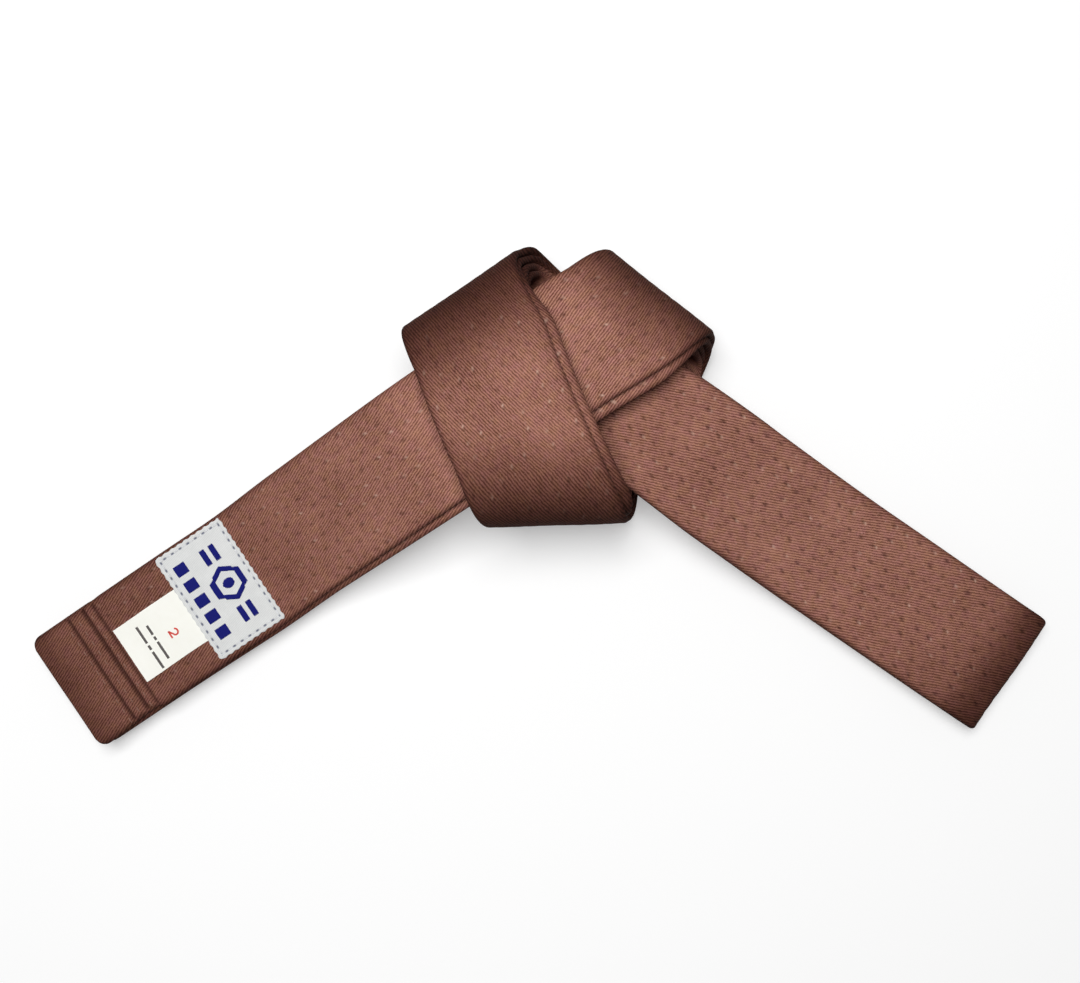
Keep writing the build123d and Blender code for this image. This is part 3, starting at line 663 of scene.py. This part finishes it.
def section(face_points, back_points):
    """Closed section: face, rounded edge, back, rounded edge. Returns lat, height
    and which part each point is on."""
    bulge = HALF * 1.05
    inner = HALF_WIDTH - bulge
    arc = np.linspace(0, pi, 9)[1:-1]
    lat = [np.linspace(inner, -inner, face_points), -inner - bulge * np.sin(arc),
           np.linspace(-inner, inner, back_points), inner + bulge * np.sin(arc)]
    height = [np.full(face_points, HALF), HALF * np.cos(arc),
              np.full(back_points, -HALF), -HALF * np.cos(arc)]
    part = np.repeat((FACE, EDGE, BACK, EDGE), [len(x) for x in lat])
    return np.concatenate(lat), np.concatenate(height), part


def end_taper(lon, cut, corner=3.2, thinning=1.1):
    """Shares of width and thickness near a cut end with rounded corners."""
    x = np.clip((lon - cut) / corner, 0, 1)
    width = HALF_WIDTH - corner + corner * np.sqrt(1 - (1 - x) ** 2)
    y = np.clip((lon - cut) / thinning, 0, 1)
    return width / HALF_WIDTH, 0.22 + 0.78 * np.sqrt(1 - (1 - y) ** 2)


def ribbon(name, path, stations, face_points, back_points, cut=None, hemmed=False):
    sec_lat, sec_height, sec_part = section(face_points, back_points)
    ring, rows = len(sec_lat), len(stations)
    lon = np.repeat(stations[:, None], ring, 1)
    lat, height, part = [np.repeat(x[None, :], rows, 0) for x in (sec_lat, sec_height, sec_part)]
    if hemmed:
        neg = 1 - 0.048 * (1 - smooth((stations - 21.0) / 2.2)) * smooth((stations - 1) / 18.0)
        pos = 1 - 0.008 * bell(stations - 22.5, 1.5)
        lat = lat * np.where(lat < 0, neg[:, None], pos[:, None])
    if cut is not None:
        wide, thick = end_taper(stations, cut)
        lat = lat * wide[:, None]
        height = height * thick[:, None]
    point, normal = path.mid(lon, lat)
    cloth_lon, cloth_lat, layer = path.cloth(lon, lat)
    returning = path.returning(stations)

    # relief fades out towards the edges and where the folds are painted dark
    inner = np.clip((HALF_WIDTH - 0.5 - np.abs(lat)) / 1.4, 0, 1)
    relief, painted_recess_shade, speck = quilt(cloth_lon, cloth_lat, layer, np.where(part == BACK, 1, 0))
    painted_shading = painted_shading_at(cloth_lon, np.where(returning[:, None], -cloth_lat, cloth_lat))
    relief = relief * inner * (0.35 + 0.65 * smooth((painted_shading - 0.45) / 0.4))
    painted_recess_shade, speck = painted_recess_shade * inner, speck * inner
    if hemmed:
        clear = smooth((lon - 21.5) / 1.5)
        face = (part == FACE) * np.clip((HALF_WIDTH - 0.2 - np.abs(lat)) / 0.8, 0, 1)
        hem_relief, groove = hem(lon)
        relief = relief * clear + hem_relief * face
        # the hem's grooves and edge line take painted shade like the stitch holes
        painted_recess_shade, speck = np.maximum(painted_recess_shade * clear, 0.80 * groove * face), speck * clear
    relief = np.where(part == FACE, relief, np.where(part == BACK, -relief, 0.0))
    height = height + relief + wander(cloth_lon, cloth_lat, layer)
    verts = ((point + normal * height[..., None]) * MM).reshape(-1, 3)

    start = np.arange(rows - 1)[:, None] * ring
    this = np.arange(ring)[None, :]
    after = (this + 1) % ring
    quads = np.stack([start + this, start + after, start + ring + after, start + ring + this],
                     -1).reshape(-1, 4)
    caps = [list(range(ring))[::-1], [(rows - 1) * ring + k for k in range(ring)]]
    me = bpy.data.meshes.new(name)
    me.from_pydata(verts.tolist(), [], quads.tolist() + caps)
    me.update()

    # the UV map runs on past a hairpin in true belt coordinates
    back = (sec_part == BACK) | (np.roll(sec_part, -1) == BACK)
    side = np.tile(np.where(back, -1.0, 1.0), rows - 1)[:, None]
    way = np.where(returning[:-1], -1.0, 1.0).repeat(ring)[:, None]
    offset = np.where(returning[:-1], path.total, 0.0).repeat(ring)[:, None]
    uv = np.zeros((len(quads) * 4 + 2 * ring, 2), np.float32)
    uv[:quads.size, 0] = (lon.reshape(-1)[quads] * way + offset).ravel()
    uv[:quads.size, 1] = (lat.reshape(-1)[quads] * side * way).ravel()
    me.uv_layers.new(name="SV").data.foreach_set("uv", uv.ravel())
    # painted shade on the rounded edges
    painted_shading = painted_shading * np.where(part == EDGE, 0.80, 1.0)
    add_attributes(me, {"painted_recess_shade": painted_recess_shade, "row": speck, "painted_shading": painted_shading})
    me.polygons.foreach_set("use_smooth", np.ones(len(me.polygons), bool))

    # the two end caps keep a hard rim
    ends = np.zeros(len(me.edges) * 2, np.int32)
    me.edges.foreach_get("vertices", ends)
    ends = ends.reshape(-1, 2)
    sharp = (ends < ring).all(1) | (ends >= (rows - 1) * ring).all(1)
    layer = me.attributes.get("sharp_edge") or me.attributes.new("sharp_edge", "BOOLEAN", "EDGE")
    layer.data.foreach_set("value", sharp)

    # outward faces
    tri = verts[quads]
    volume = sum(np.einsum("ij,ij->i", tri[:, 0], np.cross(tri[:, k], tri[:, k + 1])).sum()
                 for k in (1, 2))
    if volume < 0:
        me.flip_normals()
    ob = bpy.data.objects.new(name, me)
    bpy.context.scene.collection.objects.link(ob)
    return ob


def add_attributes(me, values):
    for key, value in values.items():
        data = me.attributes.new(key, "FLOAT", "POINT").data
        data.foreach_set("value", np.asarray(value, np.float32).ravel())


# ---------------------------------------------------------------------------
# The belt's layers, cut at hidden or still places so that every piece spans one
# bend only
# ---------------------------------------------------------------------------
CUT_LEFT, CUT_KNOT, CUT_RIGHT = 98.0, 262.0, 522.0
DENSE, MID, LOOSE = 65, 33, 17      # points across a face


def stations(start, *legs):
    """Lon values from start through legs of (end, step)."""
    parts = []
    for end, step in legs:
        count = max(3, int(round(abs(end - start) / step)) + 1)
        parts.append(np.linspace(start, end, count)[:-1])
        start = end
    return np.concatenate(parts + [[start]])


def belt_piece(name, path, lons, face_points, bend, replaced=(), **end):
    ob = ribbon(name, path, lons, face_points, LOOSE, **end)
    ob.data.materials.append(MATERIALS["brown_twill"])
    body_a, body_b, lon = bend
    at(lon - BLEND_REACH)
    at(lon + BLEND_REACH)
    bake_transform(ob)
    if replaced:
        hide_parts(*replaced)


def cad_plies(prefix):
    return [prefix + part for part in
            ("_cover", "_core_outer_plies", "_core_inner_plies", "_stitch_rows")]


UPPER_CUT, LOWER_CUT = -0.8, 1.2
belt_piece("belt_end_upper", Layer(0),
           stations(UPPER_CUT, (0.4, 0.12), (12, 0.6), (22.8, 0.18), (CUT_LEFT, 0.6)),
           DENSE, LEFT_END_BEND, cad_plies("left_end") + ["end_hem_flaps"],
           cut=UPPER_CUT, hemmed=True)
belt_piece("belt_end_lower", Layer(1),
           LOWER_CUT + stations(0, (1.2, 0.2), (CUT_LEFT - LOWER_CUT, 0.9)),
           MID, LEFT_END_BEND, cut=LOWER_CUT)
loop = Hairpin(2, 3, centre=3.2, out=-1)
loop_end = loop.centre - loop.turn
belt_piece("belt_mid_length_fold", loop,
           stations(CUT_LEFT, (8, 1.0), (loop_end - 4.8, 0.35),
                    (loop_end - (CUT_LEFT - loop.centre), 1.0)),
           LOOSE, LEFT_END_BEND)

# For each layer of a run: points across the face, step along, flipped or not
LEFT_RUN = ((DENSE, 0.6, False), (MID, 0.9, False), (LOOSE, 1.2, False), (LOOSE, 1.2, True))
RIGHT_RUN = ((DENSE, 0.6, False), (MID, 0.9, False), (LOOSE, 1.2, True), (DENSE, 0.6, True))
for side, run, start, end, bend, replaced in (
        ("left", LEFT_RUN, CUT_LEFT, CUT_KNOT, LEFT_KNOT_BEND,
         cad_plies("left_tail") + cad_plies("knot")),
        ("right", RIGHT_RUN, CUT_KNOT, CUT_RIGHT, RIGHT_KNOT_BEND, cad_plies("right_tail"))):
    for k, (points, step, flip) in enumerate(run):
        belt_piece(f"belt_layer_{k + 1}_{side}", Layer(k, flip), stations(start, (end, step)),
                   points, bend, replaced if k == 0 else ())

loop_centre = BELT_END + 1.5 - LAYER_H[0] - HALF
for name, first, second, points, step, replaced in (
        ("belt_outer_loop", 0, 3, DENSE, 0.6, cad_plies("right_end")),
        ("belt_inner_loop", 1, 2, LOOSE, 1.2, ())):
    loop = Hairpin(first, second, loop_centre, out=1)
    loop_end = loop_centre + loop.turn
    belt_piece(name, loop,
               stations(CUT_RIGHT, (loop_centre - 6, step), (loop_end + 6, 0.4),
                        (loop_end + (loop_centre - CUT_RIGHT), step)),
               points, RIGHT_END_BEND, replaced)


# ---------------------------------------------------------------------------
# Mesh helpers for what lies on the belt
# ---------------------------------------------------------------------------
def emit(name, verts, faces, slot, uv, attrs=None, shade_smooth=True, sharp_angle=None):
    me = bpy.data.meshes.new(name)
    me.from_pydata(verts, [], faces)
    me.update()
    corners = np.zeros(len(me.loops), np.int32)
    me.loops.foreach_get("vertex_index", corners)
    uv = np.asarray(uv, np.float32)[corners]
    me.uv_layers.new(name="SV").data.foreach_set("uv", uv.ravel())
    add_attributes(me, attrs or {})
    me.polygons.foreach_set("use_smooth", np.full(len(me.polygons), shade_smooth))
    if sharp_angle:
        me.set_sharp_from_angle(angle=radians(sharp_angle))
    me.materials.append(MATERIALS[slot])
    ob = bpy.data.objects.new(name, me)
    bpy.context.scene.collection.objects.link(ob)
    return ob


def slab(name, lon, lat, bottom, top, slot, attrs=None):
    """Closed thin sheet over a grid of belt coordinates."""
    verts = np.concatenate([raised(lon, lat, h).reshape(-1, 3) for h in (top, bottom)])
    index = np.arange(lon.size).reshape(lon.shape)
    quads = np.stack([index[:-1, :-1], index[1:, :-1], index[1:, 1:], index[:-1, 1:]],
                     -1).reshape(-1, 4)
    rim = np.concatenate([index[0, :-1], index[:-1, -1], index[-1, :0:-1], index[:0:-1, 0]])
    after = np.roll(rim, -1)
    sides = np.stack([rim, after, after + lon.size, rim + lon.size], -1)
    faces = quads.tolist() + (quads[:, ::-1] + lon.size).tolist() + sides.tolist()
    uv = np.stack([lon, lat], -1).reshape(-1, 2)
    uv = np.concatenate([uv, uv + np.array((0.13, 0.21))])
    attrs = {key: np.concatenate([x.ravel(), 0 * x.ravel()]) for key, x in (attrs or {}).items()}
    return emit(name, verts.tolist(), faces, slot, uv, attrs, sharp_angle=50)


def threads(name, items, radius, slot, top_of, lift, sink, flat=0.7):
    """Short thread stitches: closed arched tubes from hole to hole."""
    rings, around = 9, 8
    rows, faces, uv = [], [], []    # rows: lon, lat, height over the cloth, centre lon, lat
    for lon1, lat1, lon2, lat2 in items:
        base = len(rows)
        part = np.linspace(0, 1, rings)
        lon, lat = lon1 + (lon2 - lon1) * part, lat1 + (lat2 - lat1) * part
        length = math.hypot(lon2 - lon1, lat2 - lat1)
        dir_lon, dir_lat = (lon2 - lon1) / length, (lat2 - lat1) / length
        rise = -sink + (lift + sink) * np.sqrt(np.clip(np.sin(pi * part), 0, 1))
        size = radius * np.sqrt(np.clip(1 - (2 * part - 1) ** 6, 0.12, 1))
        for i in range(rings):
            for j in range(around):
                angle = 2 * pi * j / around
                rows.append((lon[i] - dir_lat * size[i] * cos(angle),
                             lat[i] + dir_lon * size[i] * cos(angle),
                             rise[i] + size[i] * flat * sin(angle), lon[i], lat[i]))
                uv.append((length * part[i], angle / (2 * pi) * 1.2))
        for i, sign, u in ((0, -1, 0), (-1, 1, length)):
            tip = sign * size[i] * 0.5
            rows.append((lon[i] + dir_lon * tip, lat[i] + dir_lat * tip, rise[i], lon[i], lat[i]))
            uv.append((u, 0))
        tip1 = base + rings * around
        last = tip1 - around
        for i in range(base, last, around):
            for j in range(around):
                k = (j + 1) % around
                faces.append((i + j, i + around + j, i + around + k, i + k))
        for j in range(around):
            k = (j + 1) % around
            faces.append((base + j, base + k, tip1))
            faces.append((last + k, last + j, tip1 + 1))
    table = np.array(rows)
    verts = raised(table[:, 0], table[:, 1], top_of(table[:, 3], table[:, 4]) + table[:, 2])
    # turn every face over when the first one looks inward
    corner, second, third = verts[list(faces[0][:3])]
    if np.cross(second - corner, third - corner) @ (corner - verts[:around].mean(0)) < 0:
        faces = [face[::-1] for face in faces]
    return emit(name, verts.tolist(), faces, slot, uv)


def cloth_top(lon, lat):
    return TOP + wander(lon, lat - side_shift(lon, 0), 0)


# ---------------------------------------------------------------------------
# Sewn label with its edge stitches and emblem
# ---------------------------------------------------------------------------
LABEL_LON, LABEL_LAT = (45.6, 69.7), (-18.0, 19.2)
LABEL_PITCH, LABEL_INSET = 2.85, 1.35       # of the edge stitches
LABEL_PHASE = 1.2
TAG_START, TAG_LAT = 22.8, (-10.7, 8.4)
TAG_MID = (TAG_LAT[0] + TAG_LAT[1]) / 2


def label_bottom(lon, lat):
    """The label lies on the cloth, and over the root of the tag."""
    on_tag = (1 - smooth((np.abs(lat - TAG_MID) - 9.4) / 1.4)) * (1 - smooth((lon - 49.4) / 1.6))
    return cloth_top(lon, lat) + 0.05 + 0.24 * on_tag


def label_relief(lon, lat):
    """Height of the label's top over its bottom, its needle holes and stitch line."""
    in_lon = np.minimum(lon - LABEL_LON[0], LABEL_LON[1] - lon)
    in_lat = np.minimum(lat - LABEL_LAT[0], LABEL_LAT[1] - lat)
    inset = np.minimum(in_lon, in_lat)
    along = np.where(in_lon < in_lat, lat, lon)
    line = bell(inset - LABEL_INSET, 0.32)
    off = np.mod(along + LABEL_PHASE, LABEL_PITCH) - LABEL_PITCH / 2
    hole = bell(inset - LABEL_INSET, 0.34, off, 0.66)
    rim = np.clip(inset / 0.45, 0, 1)
    relief = 0.40 - 0.07 * line - 0.18 * hole - 0.20 * (1 - np.sqrt(1 - (1 - rim) ** 2))
    relief = (relief + 0.045 * np.sin(2 * pi * lat / ROW_STEP + 0.6)
              + 0.05 * np.sin(lon / 2.1 + lat / 5.0) * np.cos(lat / 3.3))
    return relief, hole, line


def label_top(lon, lat):
    return label_bottom(lon, lat) + label_relief(lon, lat)[0]


def label_grid(step=0.25, corner=0.6, wave=0.16, period=2.45):
    """Grid over the label with rounded corners and slightly wavy edges."""
    (lon0, lon1), (lat0, lat1) = LABEL_LON, LABEL_LAT
    lon, lat = np.meshgrid(np.linspace(lon0, lon1, int((lon1 - lon0) / step) + 1),
                           np.linspace(lat0, lat1, int((lat1 - lat0) / step) + 1),
                           indexing="ij")
    mid_lon, mid_lat, half = (lon0 + lon1) / 2, (lat0 + lat1) / 2, (lat1 - lat0) / 2
    near = np.clip(np.minimum(lon - lon0, lon1 - lon) / corner, 0, 1)
    squeeze = 1 - corner / half * (1 - np.sqrt(1 - (1 - near) ** 2))
    lat = mid_lat + (lat - mid_lat) * squeeze
    edge_lat = np.clip(np.abs(lat - mid_lat) / half, 0, 1) ** 6
    edge_lon = np.clip(np.abs(lon - mid_lon) / (lon1 - lon0) * 2, 0, 1) ** 6
    lat = lat + wave * edge_lat * np.sign(lat - mid_lat) * np.sin(2 * pi * lon / period)
    lon = lon + wave * edge_lon * np.sign(lon - mid_lon) * np.sin(2 * pi * lat / period + 1)
    return lon, lat


lon, lat = label_grid()
relief, hole, line = label_relief(lon, lat)
bottom = label_bottom(lon, lat)
label = slab("sewn_label", lon, lat, bottom, bottom + relief, "label_white",
             {"painted_recess_shade": hole, "row": line})
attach(label, "left_end")
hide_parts("brand_label")


def edge_spans(low, high):
    """Start and end of each stitch between needle holes along one label edge."""
    spans = []
    k = math.ceil((low + LABEL_INSET + LABEL_PHASE) / LABEL_PITCH - 0.9)
    while k * LABEL_PITCH - LABEL_PHASE + 1.5 * LABEL_PITCH < high - LABEL_INSET + 0.6:
        hole = k * LABEL_PITCH - LABEL_PHASE
        spans.append((hole + LABEL_PITCH / 2 + 0.5, hole + 1.5 * LABEL_PITCH - 0.5))
        k += 1
    return spans


items = [(a, side, b, side) for side in (LABEL_LAT[0] + LABEL_INSET, LABEL_LAT[1] - LABEL_INSET)
         for a, b in edge_spans(*LABEL_LON)]
items += [(side, a, side, b) for side in (LABEL_LON[0] + LABEL_INSET, LABEL_LON[1] - LABEL_INSET)
          for a, b in edge_spans(*LABEL_LAT)]
stitches = threads("label_stitches", items, 0.17, "label_thread", label_top, lift=0.08, sink=0.10)
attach(stitches, "left_end")
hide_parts("label_edge_stitching")

EMBLEM_LON, EMBLEM_LAT = 61.0, 0.6


def emblem_shape(lon, lat):
    """Hexagon ring with a dot, two bars on either side, and a row of blocks."""
    dx, dy = np.abs(lon - EMBLEM_LON), np.abs(lat - EMBLEM_LAT)
    hexagon = np.maximum(dx, dx * 0.5 + dy * math.sqrt(3) / 2)
    ring = (hexagon < 6.2 * math.sqrt(3) / 2) & ~(hexagon < 4.1 * math.sqrt(3) / 2)
    dot = np.hypot(dx, dy) < 1.9
    bars = (np.abs(dy - 10.4) < 3.2) & (np.abs(dx - 1.7) < 0.9)
    blocks = np.abs(np.mod(lat - EMBLEM_LAT + 2.9, 5.8) - 2.9) < 2.15
    return ring | dot | bars | ((np.abs(lon - 51.0) < 1.9) & blocks & (dy < 14.2))


# satin stitches run across the shape
items = []
lat = np.arange(-15, 16, 0.05)
for lon in np.arange(48.9, 67.6, 0.25):
    inside = emblem_shape(np.full_like(lat, lon), lat)
    turns = np.flatnonzero(np.diff(np.concatenate([[0], inside.astype(int), [0]])))
    for a, b in zip(turns[::2], turns[1::2]):
        if b - a > 4:
            items.append((lon, lat[a] + 0.02, lon, lat[min(b, len(lat) - 1)] - 0.02))
emblem = threads("label_emblem_embroidery", items, 0.165, "emblem_blue", label_top,
                 lift=0.12, sink=0.14, flat=0.75)
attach(emblem, "left_end")
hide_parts("label_emblem")

# ---------------------------------------------------------------------------
# Hem stitches across the upper left end
# ---------------------------------------------------------------------------
items = []
for lon, phase in ((11.7, 0.0), (15.7, 1.3), (20.0, 0.7)):
    for i in range(11):
        start = -18.6 + 3.55 * i + phase
        if start + 2.0 < 18.8:
            items.append((lon, start, lon, start + 2.0))


def hem_top(lon, lat):
    return cloth_top(lon, lat) + hem(lon)[0]


stitches = threads("hem_stitches", items, 0.20, "quilting_thread", hem_top,
                   lift=0.05, sink=0.22, flat=0.8)
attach(stitches, "left_end")
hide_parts("end_hem_stitching")

# ---------------------------------------------------------------------------
# Size tag: printed tape, its root sewn in under the label
# ---------------------------------------------------------------------------
TAG_THICK = 0.17


def tag_bottom(lon, lat):
    free = smooth((44.0 - lon) / 18.0)
    ripple = 0.10 * np.sin(lat / 3.1 + 0.5) * np.sin(lon / 6.0 + 0.4)
    return cloth_top(lon, lat) + 0.03 + free * (0.10 + ripple + 0.22 * smooth((28 - lon) / 6))


lon, lat = np.meshgrid(
    np.concatenate([np.arange(TAG_START, 43.2, 0.4), np.arange(43.2, 46.0, 0.12),
                    np.arange(46.0, 49.01, 0.4)]),
    np.linspace(TAG_LAT[0], TAG_LAT[1], 49), indexing="ij")
lat = lat + 0.10 * np.sin(lon / 5.0)
bottom = tag_bottom(lon, lat)
tag = slab("size_tag_tape", lon, lat, bottom, bottom + TAG_THICK, "tag_ivory")
at(45.4, TOP + 0.16)
at(43.8, TOP + 0.16)
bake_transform(tag)
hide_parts("size_tag", "size_tag_tuck")


def printed(name, lines, width, slot, replaced):
    """Printed marks: thin closed strips following the tag's surface."""
    verts, faces, uv = [], [], []
    for points in lines:
        points = np.array(points, float)
        count = len(points)
        ahead = np.gradient(points, axis=0)
        ahead /= np.linalg.norm(ahead, axis=1, keepdims=True)
        aside = np.stack([-ahead[:, 1], ahead[:, 0]], -1) * (width / 2)
        left, right = points + aside, points - aside
        base = len(verts)
        for edge, lift in ((left, 0.035), (right, 0.035), (right, -0.03), (left, -0.03)):
            height = tag_bottom(edge[:, 0], edge[:, 1]) + TAG_THICK + lift
            verts += raised(edge[:, 0], edge[:, 1], height).tolist()
            uv += edge.tolist()
        for k in range(4):
            this, after = base + k * count, base + (k + 1) % 4 * count
            for i in range(count - 1):
                faces.append((this + i, this + i + 1, after + i + 1, after + i))
        faces.append(tuple(base + k * count for k in range(4)))
        faces.append(tuple(base + k * count - 1 for k in (1, 4, 3, 2)))
    ob = emit(name, verts, faces, slot, uv, shade_smooth=False)
    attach(ob, "size_tag_flap")
    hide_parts(replaced)


def dense(points, step=0.25):
    out = []
    for (x0, y0), (x1, y1) in zip(points[:-1], points[1:]):
        count = max(1, int(math.hypot(x1 - x0, y1 - y0) / step))
        out += [(x0 + (x1 - x0) * i / count, y0 + (y1 - y0) * i / count) for i in range(count)]
    return out + [points[-1]]


# Plain bars: lon, middle lat, length
BARS = (
    (32.4, 2.1, 3.4), (32.4, -0.9, 1.2), (32.4, -5.3, 6.2),
    (29.4, 2.2, 6.0), (29.4, -2.4, 1.6), (29.4, -7.0, 6.0),
)
printed("tag_bars", [dense([(lon, mid - size / 2), (lon, mid + size / 2)])
                     for lon, mid, size in BARS],
        0.8, "tag_print_dark", "size_tag_print_bars")

# Numeral 2, read along -lat with its top toward +lon: hook and foot
NUMERAL_LAT = -2.6
hook = [(38.65 + 0.9 * sin(angle), NUMERAL_LAT - 1.0 * cos(angle))
        for angle in np.linspace(radians(165), radians(-38), 15)]
hook.append((36.95, NUMERAL_LAT + 1.1))
foot = [(36.9, NUMERAL_LAT + 1.2), (36.9, NUMERAL_LAT), (36.9, NUMERAL_LAT - 1.25)]
printed("size_numeral", [dense(hook), dense(foot)], 0.55, "tag_print_red", "size_tag_numeral")


# ---------------------------------------------------------------------------
# Floor, light, camera
# ---------------------------------------------------------------------------
def build_floor():
    """White floor that glows more away from the belt."""
    m = Material("floor")
    m.bsdf.inputs["Base Color"].default_value = (0.72, 0.72, 0.72, 1)
    m.bsdf.inputs["Roughness"].default_value = 0.9
    m.bsdf.inputs["Specular IOR Level"].default_value = 0.0
    m.bsdf.inputs["Emission Color"].default_value = (1, 1, 1, 1)
    place = m.new("ShaderNodeNewGeometry")
    dist = m.new("ShaderNodeVectorMath", operation="LENGTH")
    m.put(dist.inputs[0], place.outputs["Position"])
    glow = m.remap(dist.outputs["Value"], low=0.26, high=1.1, to_low=0.34, to_high=1.0,
                   kind="SMOOTHSTEP")
    m.put(m.bsdf.inputs["Emission Strength"], glow)
    half, z = 3, -0.0004
    me = bpy.data.meshes.new("floor")
    me.from_pydata([(-half, -half, z), (half, -half, z), (half, half, z), (-half, half, z)],
                   [], [(0, 1, 2, 3)])
    me.materials.append(m.mat)
    floor = bpy.data.objects.new("floor", me)
    bpy.context.scene.collection.objects.link(floor)
    floor.visible_diffuse = False


def build_key():
    light = bpy.data.lights.new("key", "AREA")
    light.shape = "SQUARE"
    light.size = 0.55
    light.energy = 9.0
    key = bpy.data.objects.new("key", light)
    key.location = (-0.10, 0.22, 0.95)
    to_origin = Vector((0, 0, 0)) - Vector((-0.10, 0.22, 0.95))
    key.rotation_euler = to_origin.to_track_quat("-Z", "Y").to_euler()
    bpy.context.scene.collection.objects.link(key)


def build_world():
    """White to the camera; as light, stronger near the horizon to reach the sides."""
    world = bpy.data.worlds.new("soft")
    world.use_nodes = True
    w = Nodes(world.node_tree)
    background = w.tree.nodes["Background"]
    background.inputs["Color"].default_value = (1, 1, 1, 1)
    path = w.new("ShaderNodeLightPath")
    view = w.new("ShaderNodeTexCoord")
    split = w.new("ShaderNodeSeparateXYZ")
    w.put(split.inputs[0], view.outputs["Generated"])
    steep = w.new("ShaderNodeMath", operation="ABSOLUTE")
    w.put(steep.inputs[0], split.outputs[2])
    sky = w.remap(steep.outputs[0], low=0.0, high=0.5, to_low=0.36, to_high=0.11)
    level = w.remap(path.outputs["Is Camera Ray"], low=0.0, high=1.0, to_low=sky, to_high=1.0)
    w.put(background.inputs["Strength"], level)
    bpy.context.scene.world = world


def build_camera():
    """Looks straight down on the middle of the plan."""
    data = bpy.data.cameras.new("camera")
    data.lens = 45.27
    data.sensor_width = 36.0
    data.sensor_fit = "HORIZONTAL"
    data.clip_start = 0.01
    camera = bpy.data.objects.new("camera", data)
    camera.location = (SHIFT[0] * MM, SHIFT[1] * MM, 0.432)
    bpy.context.scene.collection.objects.link(camera)
    bpy.context.scene.camera = camera


build_floor()
build_key()
build_world()
bpy.context.scene.view_settings.view_transform = "Standard"
build_camera()
